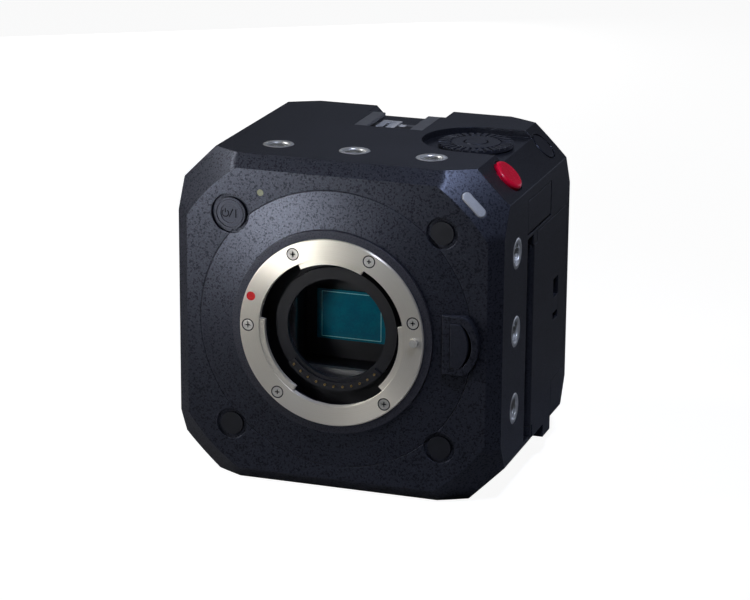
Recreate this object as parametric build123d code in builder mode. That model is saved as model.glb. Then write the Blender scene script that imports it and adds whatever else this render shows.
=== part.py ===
from build123d import *
from math import cos, radians, sin, sqrt
import os

os.makedirs("parts", exist_ok=True)

# Box cinema camera body without a lens, in millimetres.
# Depths are measured rearward from the lens flange, heights from the lens axis,
# and sideways distances from the lens axis to the right as seen from the front.

# Outer body
body_width = 93.0
body_height = 93.0
flange_to_back = 78.0
flange_to_face = 3.25
rear_guide_proud = 2.35
chamfer_leg = 9.25
lower_chamfer_leg = 9.95
bevel_across = 3.6
bevel_rise = 3.15
corner_band = 7.82
corner_slope = 1.05

# Shells
wall = 2.2
cover_plate = 3.0
cover_lip = 1.5
front_lip_depth = 12.0
rear_lip_length = 9.65
rear_plate = 2.4
seam_step = 0.8
part_gap = 0.05
door_gap = 0.2
run_out = 1.0

# Lens mount
ring_outer = 26.3
ring_throat = 20.75
ring_tab_inner = 19.2
ring_thickness = 1.8
ring_edge = 0.25
tab_setback = 0.35
tab_thickness = 1.25
tab_arcs = ((64, 117), (174, 238), (-45, 11))
ring_screw_circle = 23.9
ring_screw_angles = (117.1, 63.1, 12.95, -50.05, -130.1, 179.9)
ring_screw_head = 1.6
ring_screw_shank = 0.8
ring_screw_length = 6.5
screw_cross_reach = 0.6
screw_cross_width = 0.26
index_dot_at = (-23.0, 8.3)
index_dot_radius = 1.25
index_dot_depth = 0.3
base_outer = 28.6
base_inner = 22.3
base_front = 0.6
base_back = 9.0
bezel_outer = 39.1
bezel_groove = 0.15
bezel_proud = 1.75
bezel_thickness = 1.6
leaf_thickness = 0.3
leaf_span = 38.0

# Throat and contacts
baffle_opening = 14.1
baffle_shelf = 17.4
baffle_front = 4.6
baffle_channel = 7.4
baffle_wall = 1.6
contact_count = 11
contact_circle = 16.1
contact_first = -137.1
contact_last = -45.0
contact_radius = 0.32
contact_proud = 0.45
contact_block_inner = 15.0
contact_block_height = 0.9
contact_block_margin = 4.0

# Sensor stack
flange_focal_distance = 19.25
sensor_width = 17.3
sensor_height = 13.0
sensor_package = 1.35
glass_width = 20.0
glass_height = 14.3
glass_thickness = 1.1
glass_to_sensor = 0.85
chamber_width = 27.0
chamber_height = 25.6
chamber_wall = 2.0
frame_plate = 1.8
sensor_board_width = 40.0
sensor_board_height = 34.0
board_thickness = 1.6

# Cooling
sink_width = 50.0
sink_height = 44.0
sink_base = 2.0
fin_height = 7.5
fin_thickness = 1.0
fin_count = 11
fan_size = 30.0
fan_thickness = 8.0
fan_bore = 13.5
fan_tip_gap = 0.7
fan_hub = 5.0
fan_blades = 7
fan_to_seam = 17.0
fan_plate = 1.0
fan_arm_width = 1.4
fan_front_gap = 1.2
fan_pin = 0.9
fan_blade_chord = 5.0
fan_blade_thickness = 0.8
fan_blade_pitch = 35.0
fan_end_gap = 0.4
vent_count = 7
vent_length = 24.0
vent_width = 1.6
vent_pitch = 4.0

# Lens release
pin_radius = 1.1
pin_at = 23.7
pin_proud = 1.0
pin_fit = 0.06
boss_gap = 2.5
boss_side_gap = 5.2
boss_half_height = 8.3
boss_round = 0.363
boss_front = 1.0
boss_rounding = 0.4
release_left_share = 0.2255
release_right_share = 0.2745
release_half_height = 6.2
release_round = 0.451
release_rounding = 0.3
release_skirt = 1.0
release_proud = 0.3
release_gap = 0.1
release_side_gap = 0.9
lever_width = 4.0
lever_thickness = 0.8

# Front face details
plug_at = 30.1
plug_radius = 3.2
plug_recess_radius = 4.4
plug_recess = 0.75
plug_length = 0.9
plug_setback = 0.1
cover_screw_head = 2.4
cover_screw_shank = 1.25
cover_screw_head_height = 0.75
cover_screw_length = 5.0
pillar_radius = 3.5
power_radius = 4.4
power_recess_radius = 5.5
power_recess = 0.95
power_travel = 0.5
power_skirt = 1.0
power_dish = 2.75
power_dish_depth = 0.25
power_ring_gap = 1.0
power_ring_width = 0.2
power_ring_depth = 0.3
led_at = (-21.4, 36.6)
led_radius = 0.9
lamp_angle = 45.0
lamp_length = 8.3
lamp_width = 2.9
lamp_thickness = 2.4
lamp_proud = 0.3
lamp_rounding = 0.5
lamp_above_corner = 2.5

# Buttons on the upper corner chamfers
rec_depth = 24.2
rec_radius = 4.7
rec_proud = 1.2
rec_rounding = 1.08
rec_rim = 0.6
cancel_to_seam = 5.9
cancel_radius = 3.9
cancel_rim = 0.6
left_button_first = 31.0
left_button_to_seam = 7.0
small_button_proud = 0.1
small_button_rounding = 0.3
button_fit = 0.08
button_flange = 0.9
button_skirt = 1.0
button_travel = 0.8
button_rim_depth = 0.5
button_well_reach = 11.6
switch_dome_radius = 2.0
switch_slack = 0.15
button_board_drop = 5.6
button_board_width = 6.4

# Control dial
dial_side_gap = 19.1
dial_depth = 42.4
dial_recess_radius = 15.0
dial_recess = 2.0
dial_radius = 10.4
dial_clear = 0.35
dial_height = 1.1
dial_ribs = 30
dial_rib_inner = 7.2
dial_rib_cut = 0.45
dial_rib_width = 0.8
dial_hub = 4.6
dial_bore = 3.5
dial_hub_length = 5.9
clip_outer = 6.0
clip_thickness = 0.8
encoder_size = 14.0
encoder_floor = 1.0
menu_radius = 3.15
menu_proud = 0.1
menu_travel = 0.6
menu_stem = 1.4
menu_dome = 1.0
menu_rounding = 0.25
pad_thickness = 2.5
pad_margin = 2.0

# Accessory shoe
shoe_width = 20.4
shoe_depth = 47.6
shoe_length = 17.2
shoe_inner = 18.6
shoe_opening = 12.8
shoe_rail = 0.9
shoe_throat_height = 2.15
shoe_base = 0.5
shoe_tray = 2.0
shoe_flare = 1.4
shoe_contact_width = 12.0
shoe_contact_start = 2.5
shoe_contact_plate = 0.2
shoe_middle_pad = 1.8
shoe_small_pad = 0.9
shoe_pad_pitch = 6.4
shoe_pad_proud = 0.1

# Mounting threads, quarter inch with 20 turns to the inch
thread_hole_radius = 2.55
thread_mouth = 0.6
insert_radius = 4.4
insert_length = 6.2
insert_depth = 19.15
insert_pitch = 22.0
insert_wall = 1.8
insert_floor = 0.5
base_insert_depths = (28.0, 50.0)

# Right side doors
groove_start = 29.2
groove_end = 35.0
groove_cut = 3.2
groove_above_door = 0.2
groove_bottom_gap = 11.1
side_pad = 3.0
card_door_start = 36.6
card_door_back_gap = 5.65
card_door_bottom_gap = 21.0
card_above_door_end = 23.0
card_door_thickness = 2.0
thumb_start = 49.5
thumb_end = 57.0
thumb_bottom_gap = 6.1
barrel_radius = 1.25
barrel_bottom_gap = 13.8
hinge_low_reach = 2.4
hinge_top_reach = 0.4
hinge_pin_radius = 0.6
hinge_fit = 0.06
knuckle_start = 35.3
knuckle_end = 38.5
knuckle_height = 2.9
knuckle_gap = 0.5
lock_to_door_end = 10.3
lock_slot_width = 5.2
lock_slot_length = 12.2
lock_slot_drop = 5.5
lock_knob_start = 2.2
lock_knob_length = 4.5
lock_flange = 0.6
lock_rim = 1.2
port_door_start = 29.4
port_door_end = 52.0
port_door_top_gap = 12.5
port_door_height = 9.7
port_door_spacing = 1.3
port_nail_gap = 0.8
port_door_thickness = 1.6

# Sound sockets behind the port door
audio_depths = (35.5, 45.5)
audio_radius = 3.0
audio_bore = 1.8
audio_length = 8.0

# Memory cards
card_width = 24.0
card_length = 32.0
card_thickness = 2.1
card_fit = 0.15
card_to_board = 8.6
card_pitch = 6.0
card_side_gap = 4.2
card_corner = 3.0
card_unit_length = 27.0
card_unit_rim = 1.6

# Rear connector bay and battery bay
socket_bay_depth = 7.45
battery_bay_depth = 5.15
bay_back_wall = 1.8
bay_side_gap = 5.5
bay_end_gap = 16.5
socket_bay_inner = -3.0
battery_bay_inner = 4.0
guide_low = -5.6
guide_top = 21.2
guide_groove = 1.2
guide_groove_width = 1.5
guide_width = 3.8
jack_inset = 10.0
jack_top_gap = 8.0
jack_count = 3
jack_radius = 4.8
jack_bore = 4.1
jack_length = 8.7
jack_base = 2.0
jack_nut_rim = 1.2
jack_nut_thickness = 1.4
jack_lug_back = 1.8
jack_lug_reach = 0.9
jack_lug_radius = 0.8
jack_pin_radius = 1.5
jack_pin_gap = 1.5
remote_bottom_gap = 6.0
socket_inset = 9.0
network_size = (16.0, 13.6)
network_mouth = (11.8, 7.0)
network_length = 8.2
network_wall = 1.2
video_socket_size = (14.0, 4.5)
video_socket_tongue = 11.0
data_socket_size = (8.4, 2.6)
data_socket_tongue = 6.4
flat_socket_skin = 0.6
flat_socket_length = 5.0
socket_tongue_share = 0.28
power_socket_radius = 4.7
power_socket_bore = 3.1
power_socket_pin = 0.9
power_socket_length = 6.5
plug_socket_radius = 3.2
headphone_bore = 1.8
remote_bore = 1.3
plug_socket_length = 5.0
socket_base = 0.8
socket_pin_gap = 1.0
latch_below_bay = 6.0
latch_inset = 11.0
latch_size = (10.0, 4.6)
latch_travel = 3.0
latch_proud = 0.3
latch_pocket = 1.25
latch_overlap = 1.4
latch_tongue_width = 8.0
latch_tongue_thickness = 1.6
terminal_strip = (18.0, 6.0, 2.0)
terminal_top_gap = 4.0
terminal_count = 5
terminal_pitch = 3.2
terminal_blade = (0.8, 4.0, 1.6)
rear_screw_x = 28.0
rear_screw_edge_gap = 7.0
rear_screw_head = 2.0
rear_screw_head_height = 1.2
rear_screw_spare = 3.0
rear_screw_shank = 1.0
rear_screw_length = 12.0

# Boards
main_board_to_bay = 7.6
main_board_left_gap = 12.0
main_board_right_gap = 5.9
main_board_top_gap = 16.5
main_board_bottom_gap = 10.5
spacer_radius = 2.5
spacer_inset = 4.5
spacer_end_gap = 5.0

# Derived places
half_width = body_width / 2
half_height = body_height / 2
axis_height = half_height
mid_depth = (flange_to_back - pin_proud) / 2
face_depth = flange_to_face
rear_face = flange_to_back - rear_guide_proud
rear_lip_depth = rear_face - rear_lip_length
cover_inside = face_depth + cover_plate
cover_screw_seat = face_depth + plug_recess + plug_length
chamfer_side = half_width - chamfer_leg / 2
chamfer_up = half_height - chamfer_leg / 2
chamfer_sum = half_width + half_height - chamfer_leg
lower_chamfer_sum = half_width + half_height - lower_chamfer_leg
corner_radius = chamfer_sum / sqrt(2) - corner_band
lamp_circle = corner_radius + lamp_above_corner
side_floor = half_width - wall
boss_left = base_outer + boss_gap
boss_right = half_width - boss_side_gap
boss_width = boss_right - boss_left
boss_shoulder = boss_right - boss_round * boss_width
release_left = boss_left + release_left_share * boss_width
release_right = boss_right - release_right_share * boss_width
release_shoulder = release_right - release_round * (release_right - release_left)
lever_front = cover_inside + part_gap
lever_back = lever_front + lever_thickness
screw_seat = ring_thickness / 2
cancel_depth = rear_lip_depth - cancel_to_seam
left_button_last = rear_lip_depth - left_button_to_seam
left_button_depths = (left_button_first, (left_button_first + left_button_last) / 2, left_button_last)
dial_at = (half_width - dial_side_gap, dial_depth)
fan_depth = rear_lip_depth - fan_to_seam
port_door_top = half_height - port_door_top_gap
port_door_low = port_door_top - port_door_height
audio_height = (port_door_top + port_door_low) / 2
card_door_top = port_door_low - port_door_spacing
card_door_low = card_door_bottom_gap - half_height
card_door_end = rear_face - card_door_back_gap
card_centre = card_door_low + card_above_door_end
groove_top = card_door_top + groove_above_door
groove_low = groove_bottom_gap - half_height
thumb_low = thumb_bottom_gap - half_height
barrel_low = barrel_bottom_gap - half_height
lock_depth = card_door_end - lock_to_door_end
lock_slot_low = card_centre - lock_slot_drop
lock_slot = (lock_slot_low, lock_slot_low + lock_slot_length)
lock_knob_low = lock_slot_low + lock_knob_start
lock_knob = (lock_knob_low, lock_knob_low + lock_knob_length)
bay_floor = rear_face - socket_bay_depth
battery_bay_floor = rear_face - battery_bay_depth
bay_half_height = half_height - bay_end_gap
socket_bay = (bay_side_gap - half_width, socket_bay_inner)
battery_bay = (battery_bay_inner, half_width - bay_side_gap)
jack_x = socket_bay[0] + jack_inset
socket_x = socket_bay[1] - socket_inset
remote_height = remote_bottom_gap - bay_half_height
jack_top = bay_half_height - jack_top_gap
jack_pitch = (jack_top - remote_height) / jack_count
latch_height = -bay_half_height - latch_below_bay
latch_x = battery_bay_inner + latch_inset
latch_tongue_top = latch_overlap - bay_half_height
latch_tongue = (latch_x - latch_tongue_width / 2, latch_x + latch_tongue_width / 2)
latch_pocket_floor = rear_face - latch_pocket
latch_front = rear_face - rear_plate - door_gap
latch_back = latch_front - latch_tongue_thickness
main_board_depth = bay_floor - main_board_to_bay
main_board_left = main_board_left_gap - half_width
main_board_right = half_width - main_board_right_gap
main_board_top = half_height - main_board_top_gap
main_board_low = main_board_bottom_gap - half_height
last_card_depth = main_board_depth - card_to_board
card_depths = (last_card_depth - card_pitch, last_card_depth)
card_front = half_width - card_side_gap
rear_screw_points = [
    (across, up)
    for across in (-rear_screw_x, rear_screw_x)
    for up in (rear_screw_edge_gap - half_height, half_height - rear_screw_edge_gap)
]
tray_half = shoe_width / 2 + pad_margin
reach = body_width
lens_axis = Axis((0, 0, axis_height), (0, 1, 0))


def facing(depth):
    """Plane square to the lens axis, seen from the front; it extrudes forward."""
    return Plane(origin=(0, depth - mid_depth, axis_height), x_dir=(1, 0, 0), z_dir=(0, -1, 0))


def level(height):
    """Level plane at a height from the lens axis; local x is sideways, local y the depth."""
    return Plane(origin=(0, -mid_depth, axis_height + height), x_dir=(1, 0, 0), z_dir=(0, 0, 1))


def upright(offset):
    """Upright plane at a sideways offset; local x is the depth, local y the height."""
    return Plane(origin=(offset, -mid_depth, axis_height), x_dir=(0, 1, 0), z_dir=(1, 0, 0))


def through_axis(angle):
    """Plane through the lens axis; local x is the depth, local y the distance at that angle."""
    turn = radians(angle)
    return Plane(
        origin=(0, -mid_depth, axis_height), x_dir=(0, 1, 0), z_dir=(sin(turn), 0, -cos(turn))
    )


def chamfer_plane(side, rise=0.0):
    """Plane on an upper corner chamfer, raised outward; side is 1 right and -1 left."""
    face = Plane(
        origin=(side * chamfer_side, -mid_depth, axis_height + chamfer_up),
        x_dir=(0, 1, 0),
        z_dir=(side, 0, 1),
    )
    return face.offset(rise)


def octagon(inset):
    """Square outline with cut corners, drawn into the open sketch, inset all round."""
    shorter = inset * (2 - sqrt(2))
    Rectangle(body_width - 2 * inset, body_height - 2 * inset)
    chamfer(vertices().sort_by(Axis.Y)[:2], length=lower_chamfer_leg - shorter)
    chamfer(vertices().sort_by(Axis.Y)[-2:], length=chamfer_leg - shorter)


def block(low, high):
    """Upright block between two corners, each given as sideways, depth and height."""
    with BuildPart() as shape:
        with BuildSketch(level(low[2])):
            with Locations(((low[0] + high[0]) / 2, (low[1] + high[1]) / 2)):
                Rectangle(high[0] - low[0], high[1] - low[1])
        extrude(amount=high[2] - low[2])
    return shape.part


def rod(plane, at, radius, length):
    """Round bar that starts on a plane and runs along its normal."""
    with BuildPart() as shape:
        with BuildSketch(plane):
            with Locations(at):
                Circle(radius)
        extrude(amount=length)
    return shape.part


def turned(points):
    """Solid turned about the lens axis from points of depth and radius."""
    with BuildPart() as shape:
        with BuildSketch(through_axis(90)):
            with BuildLine():
                Polyline(*points, close=True)
            make_face()
        revolve(axis=lens_axis)
    return shape.part


def ring_sector(front, back, inner, outer, start, end):
    """Part of a flat ring about the lens axis, between two angles."""
    with BuildPart() as shape:
        with BuildSketch(facing(back)):
            with BuildLine():
                outside = CenterArc((0, 0), outer, start, end - start)
                inside = CenterArc((0, 0), inner, start, end - start)
                Line(outside @ 0, inside @ 0)
                Line(outside @ 1, inside @ 1)
            make_face()
        extrude(amount=back - front)
    return shape.part


def prism(inset, front, back):
    """Eight-sided bar of the body's outline between two depths."""
    with BuildPart() as shape:
        with BuildSketch(facing(back)):
            octagon(inset)
        extrude(amount=back - front)
    return shape.part


def envelope(front_step=0.0, rear_step=0.0, inset=0.0):
    """Outer body with its face bevels and turned corners, its two ends moved inward."""
    front = face_depth + front_step
    back = rear_face - rear_step
    slope = bevel_across / bevel_rise
    ends = ((front, 1), (back, -1))
    with BuildPart() as shape:
        add(prism(inset, front, back))
        for angle, half in ((0, half_width), (90, half_height), (180, half_width), (270, half_height)):
            for end, inward in ends:
                with BuildSketch(through_axis(angle)):
                    with BuildLine():
                        Polyline(
                            (end - inward, half - bevel_across - slope),
                            (end + inward * (bevel_rise + 1), half + slope),
                            (end - inward, half + slope),
                            close=True,
                        )
                    make_face()
                extrude(amount=reach, both=True, mode=Mode.SUBTRACT)
        for end, inward in ends:
            with BuildSketch(through_axis(90)):
                with BuildLine():
                    Polyline(
                        (end - inward, corner_radius - corner_slope),
                        (end + inward * chamfer_leg * 2, corner_radius + corner_slope * chamfer_leg * 2),
                        (end - inward, corner_radius + corner_slope * chamfer_leg * 2),
                        close=True,
                    )
                make_face()
            revolve(axis=lens_axis, mode=Mode.SUBTRACT)
    return shape.part


def save(solid, name):
    """Label a finished piece and write it as its own file."""
    solid.label = name
    export_step(solid, f"parts/{name}.step")


# Shells of the body
# The casing is an eight-sided tube. The covers close its ends, each with a lip inside it.
casing_outside = envelope(seam_step, seam_step)
with BuildPart() as casing_tube:
    add(casing_outside)
    add(prism(wall, 0, flange_to_back), mode=Mode.SUBTRACT)
casing_wall = casing_tube.part


def d_block(front, back, left, right, half, shoulder, grow=0.0):
    """D-shaped block between two depths, with a straight left side."""
    with BuildPart() as shape:
        with BuildSketch(facing(back)):
            with BuildLine():
                Polyline(
                    (shoulder, half + grow),
                    (left - grow, half + grow),
                    (left - grow, -half - grow),
                    (shoulder, -half - grow),
                )
                ThreePointArc((shoulder, -half - grow), (right + grow, 0), (shoulder, half + grow))
            make_face()
        extrude(amount=back - front)
    return shape.part


plug_points = ((plug_at, plug_at), (-plug_at, -plug_at), (plug_at, -plug_at))
power_point = (-plug_at, plug_at)
lamp_depth = face_depth + (lamp_circle - corner_radius) / corner_slope


def lamp_plane(rise):
    """Plane on the turned corner at the tally lamp; local x runs along the corner."""
    turn = radians(lamp_angle)
    tilt = Vector(cos(turn), -corner_slope, sin(turn)).normalized()
    spot = Vector(
        lamp_circle * cos(turn), lamp_depth - mid_depth, axis_height + lamp_circle * sin(turn)
    )
    return Plane(origin=spot + tilt * rise, x_dir=(-sin(turn), 0, cos(turn)), z_dir=tilt)


def slot_bar(plane, length, width, amount):
    """Bar with round ends, extruded from a plane."""
    with BuildPart() as shape:
        with BuildSketch(plane):
            SlotOverall(length, width)
        extrude(amount=amount)
    return shape.part


def make_front_cover():
    """Front plate with its bevels, a lip that enters the casing, and every hole in the face."""
    bezel_floor = face_depth + bezel_thickness
    with BuildPart() as cover:
        add(envelope())
        add(prism(0, 0, front_lip_depth), mode=Mode.INTERSECT)
        add(casing_wall, mode=Mode.SUBTRACT)
        add(envelope(cover_plate, 0, wall + cover_lip), mode=Mode.SUBTRACT)
        add(rod(facing(bezel_floor), (0, 0), bezel_outer, reach), mode=Mode.SUBTRACT)
        add(rod(facing(reach), (0, 0), base_outer + part_gap, 2 * reach), mode=Mode.SUBTRACT)
        for spot in plug_points:
            steps = (
                (face_depth + plug_recess, plug_recess_radius),
                (cover_screw_seat, plug_radius + part_gap),
                (cover_screw_seat + cover_screw_head_height, cover_screw_head + part_gap),
                (cover_inside, cover_screw_shank + part_gap),
            )
            for depth, radius in steps:
                add(rod(facing(depth), spot, radius, reach), mode=Mode.SUBTRACT)
        power_floor = face_depth + power_recess
        add(rod(facing(power_floor), power_point, power_recess_radius, reach), mode=Mode.SUBTRACT)
        power_hole = power_radius + button_fit
        add(rod(facing(cover_inside), power_point, power_hole, reach), mode=Mode.SUBTRACT)
        add(rod(facing(cover_inside), led_at, led_radius + part_gap, reach), mode=Mode.SUBTRACT)
        lamp_hole = slot_bar(
            lamp_plane(-lamp_thickness * 2),
            lamp_length + 2 * part_gap,
            lamp_width + 2 * part_gap,
            lamp_thickness * 3,
        )
        add(lamp_hole, mode=Mode.SUBTRACT)
        boss_hole = d_block(
            0, cover_inside, boss_left, boss_right, boss_half_height, boss_shoulder, part_gap
        )
        add(boss_hole, mode=Mode.SUBTRACT)
    return cover.part


save(make_front_cover(), "front_cover")

insert_boss = insert_radius + insert_wall
insert_block = insert_length + insert_floor
row_offsets = (-insert_pitch, 0.0, insert_pitch)


def insert_places():
    """Outer face and point of every mounting thread, each face with its normal outward."""
    top = level(half_height)
    right = upright(half_width)
    left = Plane(origin=(-half_width, -mid_depth, axis_height), x_dir=(0, 1, 0), z_dir=(-1, 0, 0))
    under = Plane(
        origin=(0, -mid_depth, axis_height - half_height), x_dir=(1, 0, 0), z_dir=(0, 0, -1)
    )
    places = []
    for offset in row_offsets:
        places.append((top, (offset, insert_depth)))
        places.append((right, (insert_depth, offset)))
        places.append((left, (insert_depth, offset)))
    for depth in base_insert_depths:
        places.append((under, (0, -depth)))
    return places


def insert_rods(radius, length, above=0.0):
    """One bar at each mounting thread, from above its face down into the body."""
    return [rod(face.offset(above), at, radius, -length - above) for face, at in insert_places()]


def chamfer_wells(radius, rise, length, right_depths, left_depths):
    """Round bars square to the upper chamfers, one for each button depth."""
    bars = []
    for side, depths in ((1, right_depths), (-1, left_depths)):
        for depth in depths:
            bars.append(rod(chamfer_plane(side, rise), (depth, 0), radius, length))
    return bars


recess_floor = half_height - dial_recess
pad_floor = recess_floor - pad_thickness
shoe_floor = half_height - shoe_rail - shoe_throat_height - shoe_base
tray_floor = shoe_floor - shoe_tray
groove_floor = half_width - groove_cut
side_pad_inside = side_floor - side_pad
hinge_x = half_width - barrel_radius
hinge_low_end = barrel_low - hinge_low_reach
hinge_top_end = card_door_top + hinge_top_reach
knuckle_low = card_door_top - knuckle_height
plate_inside = half_width - card_door_thickness


def dial_recess_cut(grow, low, high, right):
    """Round-ended slot about the dial that runs out to the right."""
    radius = dial_recess_radius + grow
    with BuildPart() as shape:
        with BuildSketch(level(low)):
            with Locations(dial_at):
                Circle(radius)
            with Locations(((dial_at[0] + right) / 2, dial_at[1])):
                Rectangle(right - dial_at[0], 2 * radius)
        extrude(amount=high - low)
    return shape.part


def thumb_profile(start, end, clear, top):
    """Block over the lower right chamfer, kept clear of the casing by a gap."""
    inner_sum = lower_chamfer_sum + clear * sqrt(2)
    with BuildPart() as shape:
        with BuildSketch(facing(end)):
            with BuildLine():
                Polyline(
                    (plate_inside, top),
                    (half_width, top),
                    (half_width, thumb_low),
                    (inner_sum + thumb_low, thumb_low),
                    (plate_inside, plate_inside - inner_sum),
                    close=True,
                )
            make_face()
        extrude(amount=end - start)
    return shape.part


def shoe_notch():
    """Open slot in the top for the accessory shoe, flared at the back."""
    half = shoe_width / 2
    rails_end = shoe_depth + shoe_length
    with BuildPart() as shape:
        add(block((-half, shoe_depth, shoe_floor), (half, reach, half_height + run_out)))
        with BuildSketch(facing(reach)):
            with BuildLine():
                Polyline(
                    (-half - shoe_flare, half_height + run_out),
                    (-half - shoe_flare, half_height),
                    (-half, half_height - 2 * shoe_flare),
                    (half, half_height - 2 * shoe_flare),
                    (half + shoe_flare, half_height),
                    (half + shoe_flare, half_height + run_out),
                    close=True,
                )
            make_face()
        extrude(amount=reach - rails_end)
    return shape.part


def make_main_casing():
    """Eight-sided tube with bosses, thick floors, grooves, vents and door pockets."""
    bosses = insert_rods(insert_boss, insert_block)
    lid_clear = card_door_top + door_gap
    with BuildPart() as casing:
        add(casing_wall)
        for boss in bosses:
            add(boss)
        add(dial_recess_cut(pad_margin, pad_floor, recess_floor, chamfer_sum - recess_floor))
        tray = block(
            (-tray_half, shoe_depth - pad_margin, tray_floor),
            (tray_half, rear_lip_depth, half_height - wall),
        )
        add(tray)
        add(
            block(
                (side_pad_inside, groove_start - pad_margin, thumb_low),
                (side_floor, rear_lip_depth, port_door_top + pad_margin),
            )
        )
        for across, up in rear_screw_points:
            edge = half_height if up > 0 else -half_height
            low = min(up - pillar_radius, edge)
            high = max(up + pillar_radius, edge)
            low = (across - pillar_radius, rear_lip_depth - 2 * pillar_radius, low)
            high = (across + pillar_radius, rear_lip_depth, high)
            add(block(low, high))
        add(casing_outside, mode=Mode.INTERSECT)
        # The wall beside the lug is cut back, so that the door can swing past it
        beside_lug = block(
            (plate_inside, groove_end - door_gap, thumb_low - run_out),
            (reach, card_door_start + barrel_radius + door_gap, barrel_low - door_gap),
        )
        add(beside_lug, mode=Mode.SUBTRACT)
        add(hinge_lug())
        for hole in insert_rods(insert_radius, insert_length, run_out):
            add(hole, mode=Mode.SUBTRACT)
        for well in chamfer_wells(
            rec_radius + button_skirt + door_gap, -wall, -button_board_drop, (rec_depth,), ()
        ):
            add(well, mode=Mode.SUBTRACT)
        for well in chamfer_wells(
            cancel_radius + button_skirt + door_gap,
            -wall,
            -button_board_drop,
            (cancel_depth,),
            left_button_depths,
        ):
            add(well, mode=Mode.SUBTRACT)
        small = ((cancel_depth,), left_button_depths)
        through = 2 * button_well_reach
        for hole in chamfer_wells(
            rec_radius + button_fit, -button_well_reach, through, (rec_depth,), ()
        ):
            add(hole, mode=Mode.SUBTRACT)
        for hole in chamfer_wells(cancel_radius + button_fit, -button_well_reach, through, *small):
            add(hole, mode=Mode.SUBTRACT)
        for rim in chamfer_wells(
            rec_radius + rec_rim, -button_rim_depth, button_well_reach, (rec_depth,), ()
        ):
            add(rim, mode=Mode.SUBTRACT)
        for rim in chamfer_wells(
            cancel_radius + cancel_rim, -button_rim_depth, button_well_reach, *small
        ):
            add(rim, mode=Mode.SUBTRACT)
        opened = dial_recess_cut(0, recess_floor, half_height + run_out, half_width + run_out)
        add(opened, mode=Mode.SUBTRACT)
        add(rod(level(0), dial_at, dial_hub + hinge_fit, reach), mode=Mode.SUBTRACT)
        add(shoe_notch(), mode=Mode.SUBTRACT)
        # Groove, card door pocket and port door pocket on the right side
        add(
            block((groove_floor, groove_start, groove_low), (reach, groove_end, groove_top)),
            mode=Mode.SUBTRACT,
        )
        add(
            block(
                (groove_floor, groove_start, barrel_low - door_gap),
                (reach, card_door_start + barrel_radius + door_gap, lid_clear),
            ),
            mode=Mode.SUBTRACT,
        )
        add(
            block(
                (side_floor, card_door_start, card_door_low - door_gap),
                (reach, card_door_end + door_gap, lid_clear),
            ),
            mode=Mode.SUBTRACT,
        )
        add(
            block(
                (side_floor, card_door_start + barrel_radius + door_gap, thumb_low - run_out),
                (reach, thumb_end + door_gap, card_door_low),
            ),
            mode=Mode.SUBTRACT,
        )
        window_half = card_width / 2 + 2 * card_unit_rim + door_gap
        add(
            block(
                (
                    side_pad_inside - run_out,
                    card_depths[0] - 3 * card_unit_rim,
                    card_centre - window_half,
                ),
                (reach, lock_depth + 4 * lock_rim, card_centre + window_half),
            ),
            mode=Mode.SUBTRACT,
        )
        port_pocket = half_width - port_door_thickness - door_gap
        add(
            block(
                (port_pocket, port_door_start - door_gap, port_door_low - door_gap),
                (reach, port_door_end + port_nail_gap, port_door_top + door_gap),
            ),
            mode=Mode.SUBTRACT,
        )
        for depth in audio_depths:
            add(
                rod(
                    upright(side_pad_inside - run_out),
                    (depth, audio_height),
                    audio_radius + part_gap,
                    reach,
                ),
                mode=Mode.SUBTRACT,
            )
        knuckle = block(
            (groove_floor, knuckle_start, knuckle_low),
            (half_width, knuckle_end, card_door_top + door_gap),
        )
        add(knuckle)
        pin_length = hinge_top_end - hinge_low_end
        pin_hole = rod(
            level(hinge_low_end), (hinge_x, card_door_start), hinge_pin_radius, pin_length
        )
        add(pin_hole, mode=Mode.SUBTRACT)
        # Air slots beside the fan
        for step in range(vent_count):
            height = (step - (vent_count - 1) / 2) * vent_pitch
            low = (-reach, fan_depth - vent_length / 2, height - vent_width / 2)
            high = (-side_floor + wall, fan_depth + vent_length / 2, height + vent_width / 2)
            add(block(low, high), mode=Mode.SUBTRACT)
        for at in rear_screw_points:
            hole = rod(facing(rear_lip_depth), at, rear_screw_shank, rear_screw_length)
            add(hole, mode=Mode.SUBTRACT)
    return casing.part


def hinge_lug():
    """Fixed lug below the card door's barrel that takes its pin; its outer side is round."""
    start = card_door_start - barrel_radius
    end = card_door_start + barrel_radius
    top = barrel_low - door_gap
    with BuildPart() as lug:
        add(block((side_floor, start, -reach), (hinge_x, end, top)))
        add(rod(level(top), (hinge_x, card_door_start), barrel_radius, -reach))
        add(casing_outside, mode=Mode.INTERSECT)
    return lug.part


save(make_main_casing(), "main_casing")


# Rear shell
def bay_block(sides, floor, grow=0.0):
    """Block that fills one of the bays in the back, grown by a wall."""
    low = (sides[0] - grow, floor - grow, -bay_half_height - grow)
    return block(low, (sides[1] + grow, reach, bay_half_height + grow))


def rear_hollow():
    """Space inside the rear cover, round the two bays, the shoe tray and the screw posts."""
    with BuildPart() as hollow:
        add(envelope(0, rear_plate, wall + cover_lip))
        add(prism(0, rear_lip_depth - run_out, flange_to_back), mode=Mode.INTERSECT)
        add(bay_block(socket_bay, bay_floor, bay_back_wall), mode=Mode.SUBTRACT)
        add(bay_block(battery_bay, battery_bay_floor, bay_back_wall), mode=Mode.SUBTRACT)
        add(block((-tray_half, 0, tray_floor), (tray_half, reach, reach)), mode=Mode.SUBTRACT)
        for at in rear_screw_points:
            add(rod(facing(reach), at, pillar_radius, reach), mode=Mode.SUBTRACT)
    return hollow.part


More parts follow.
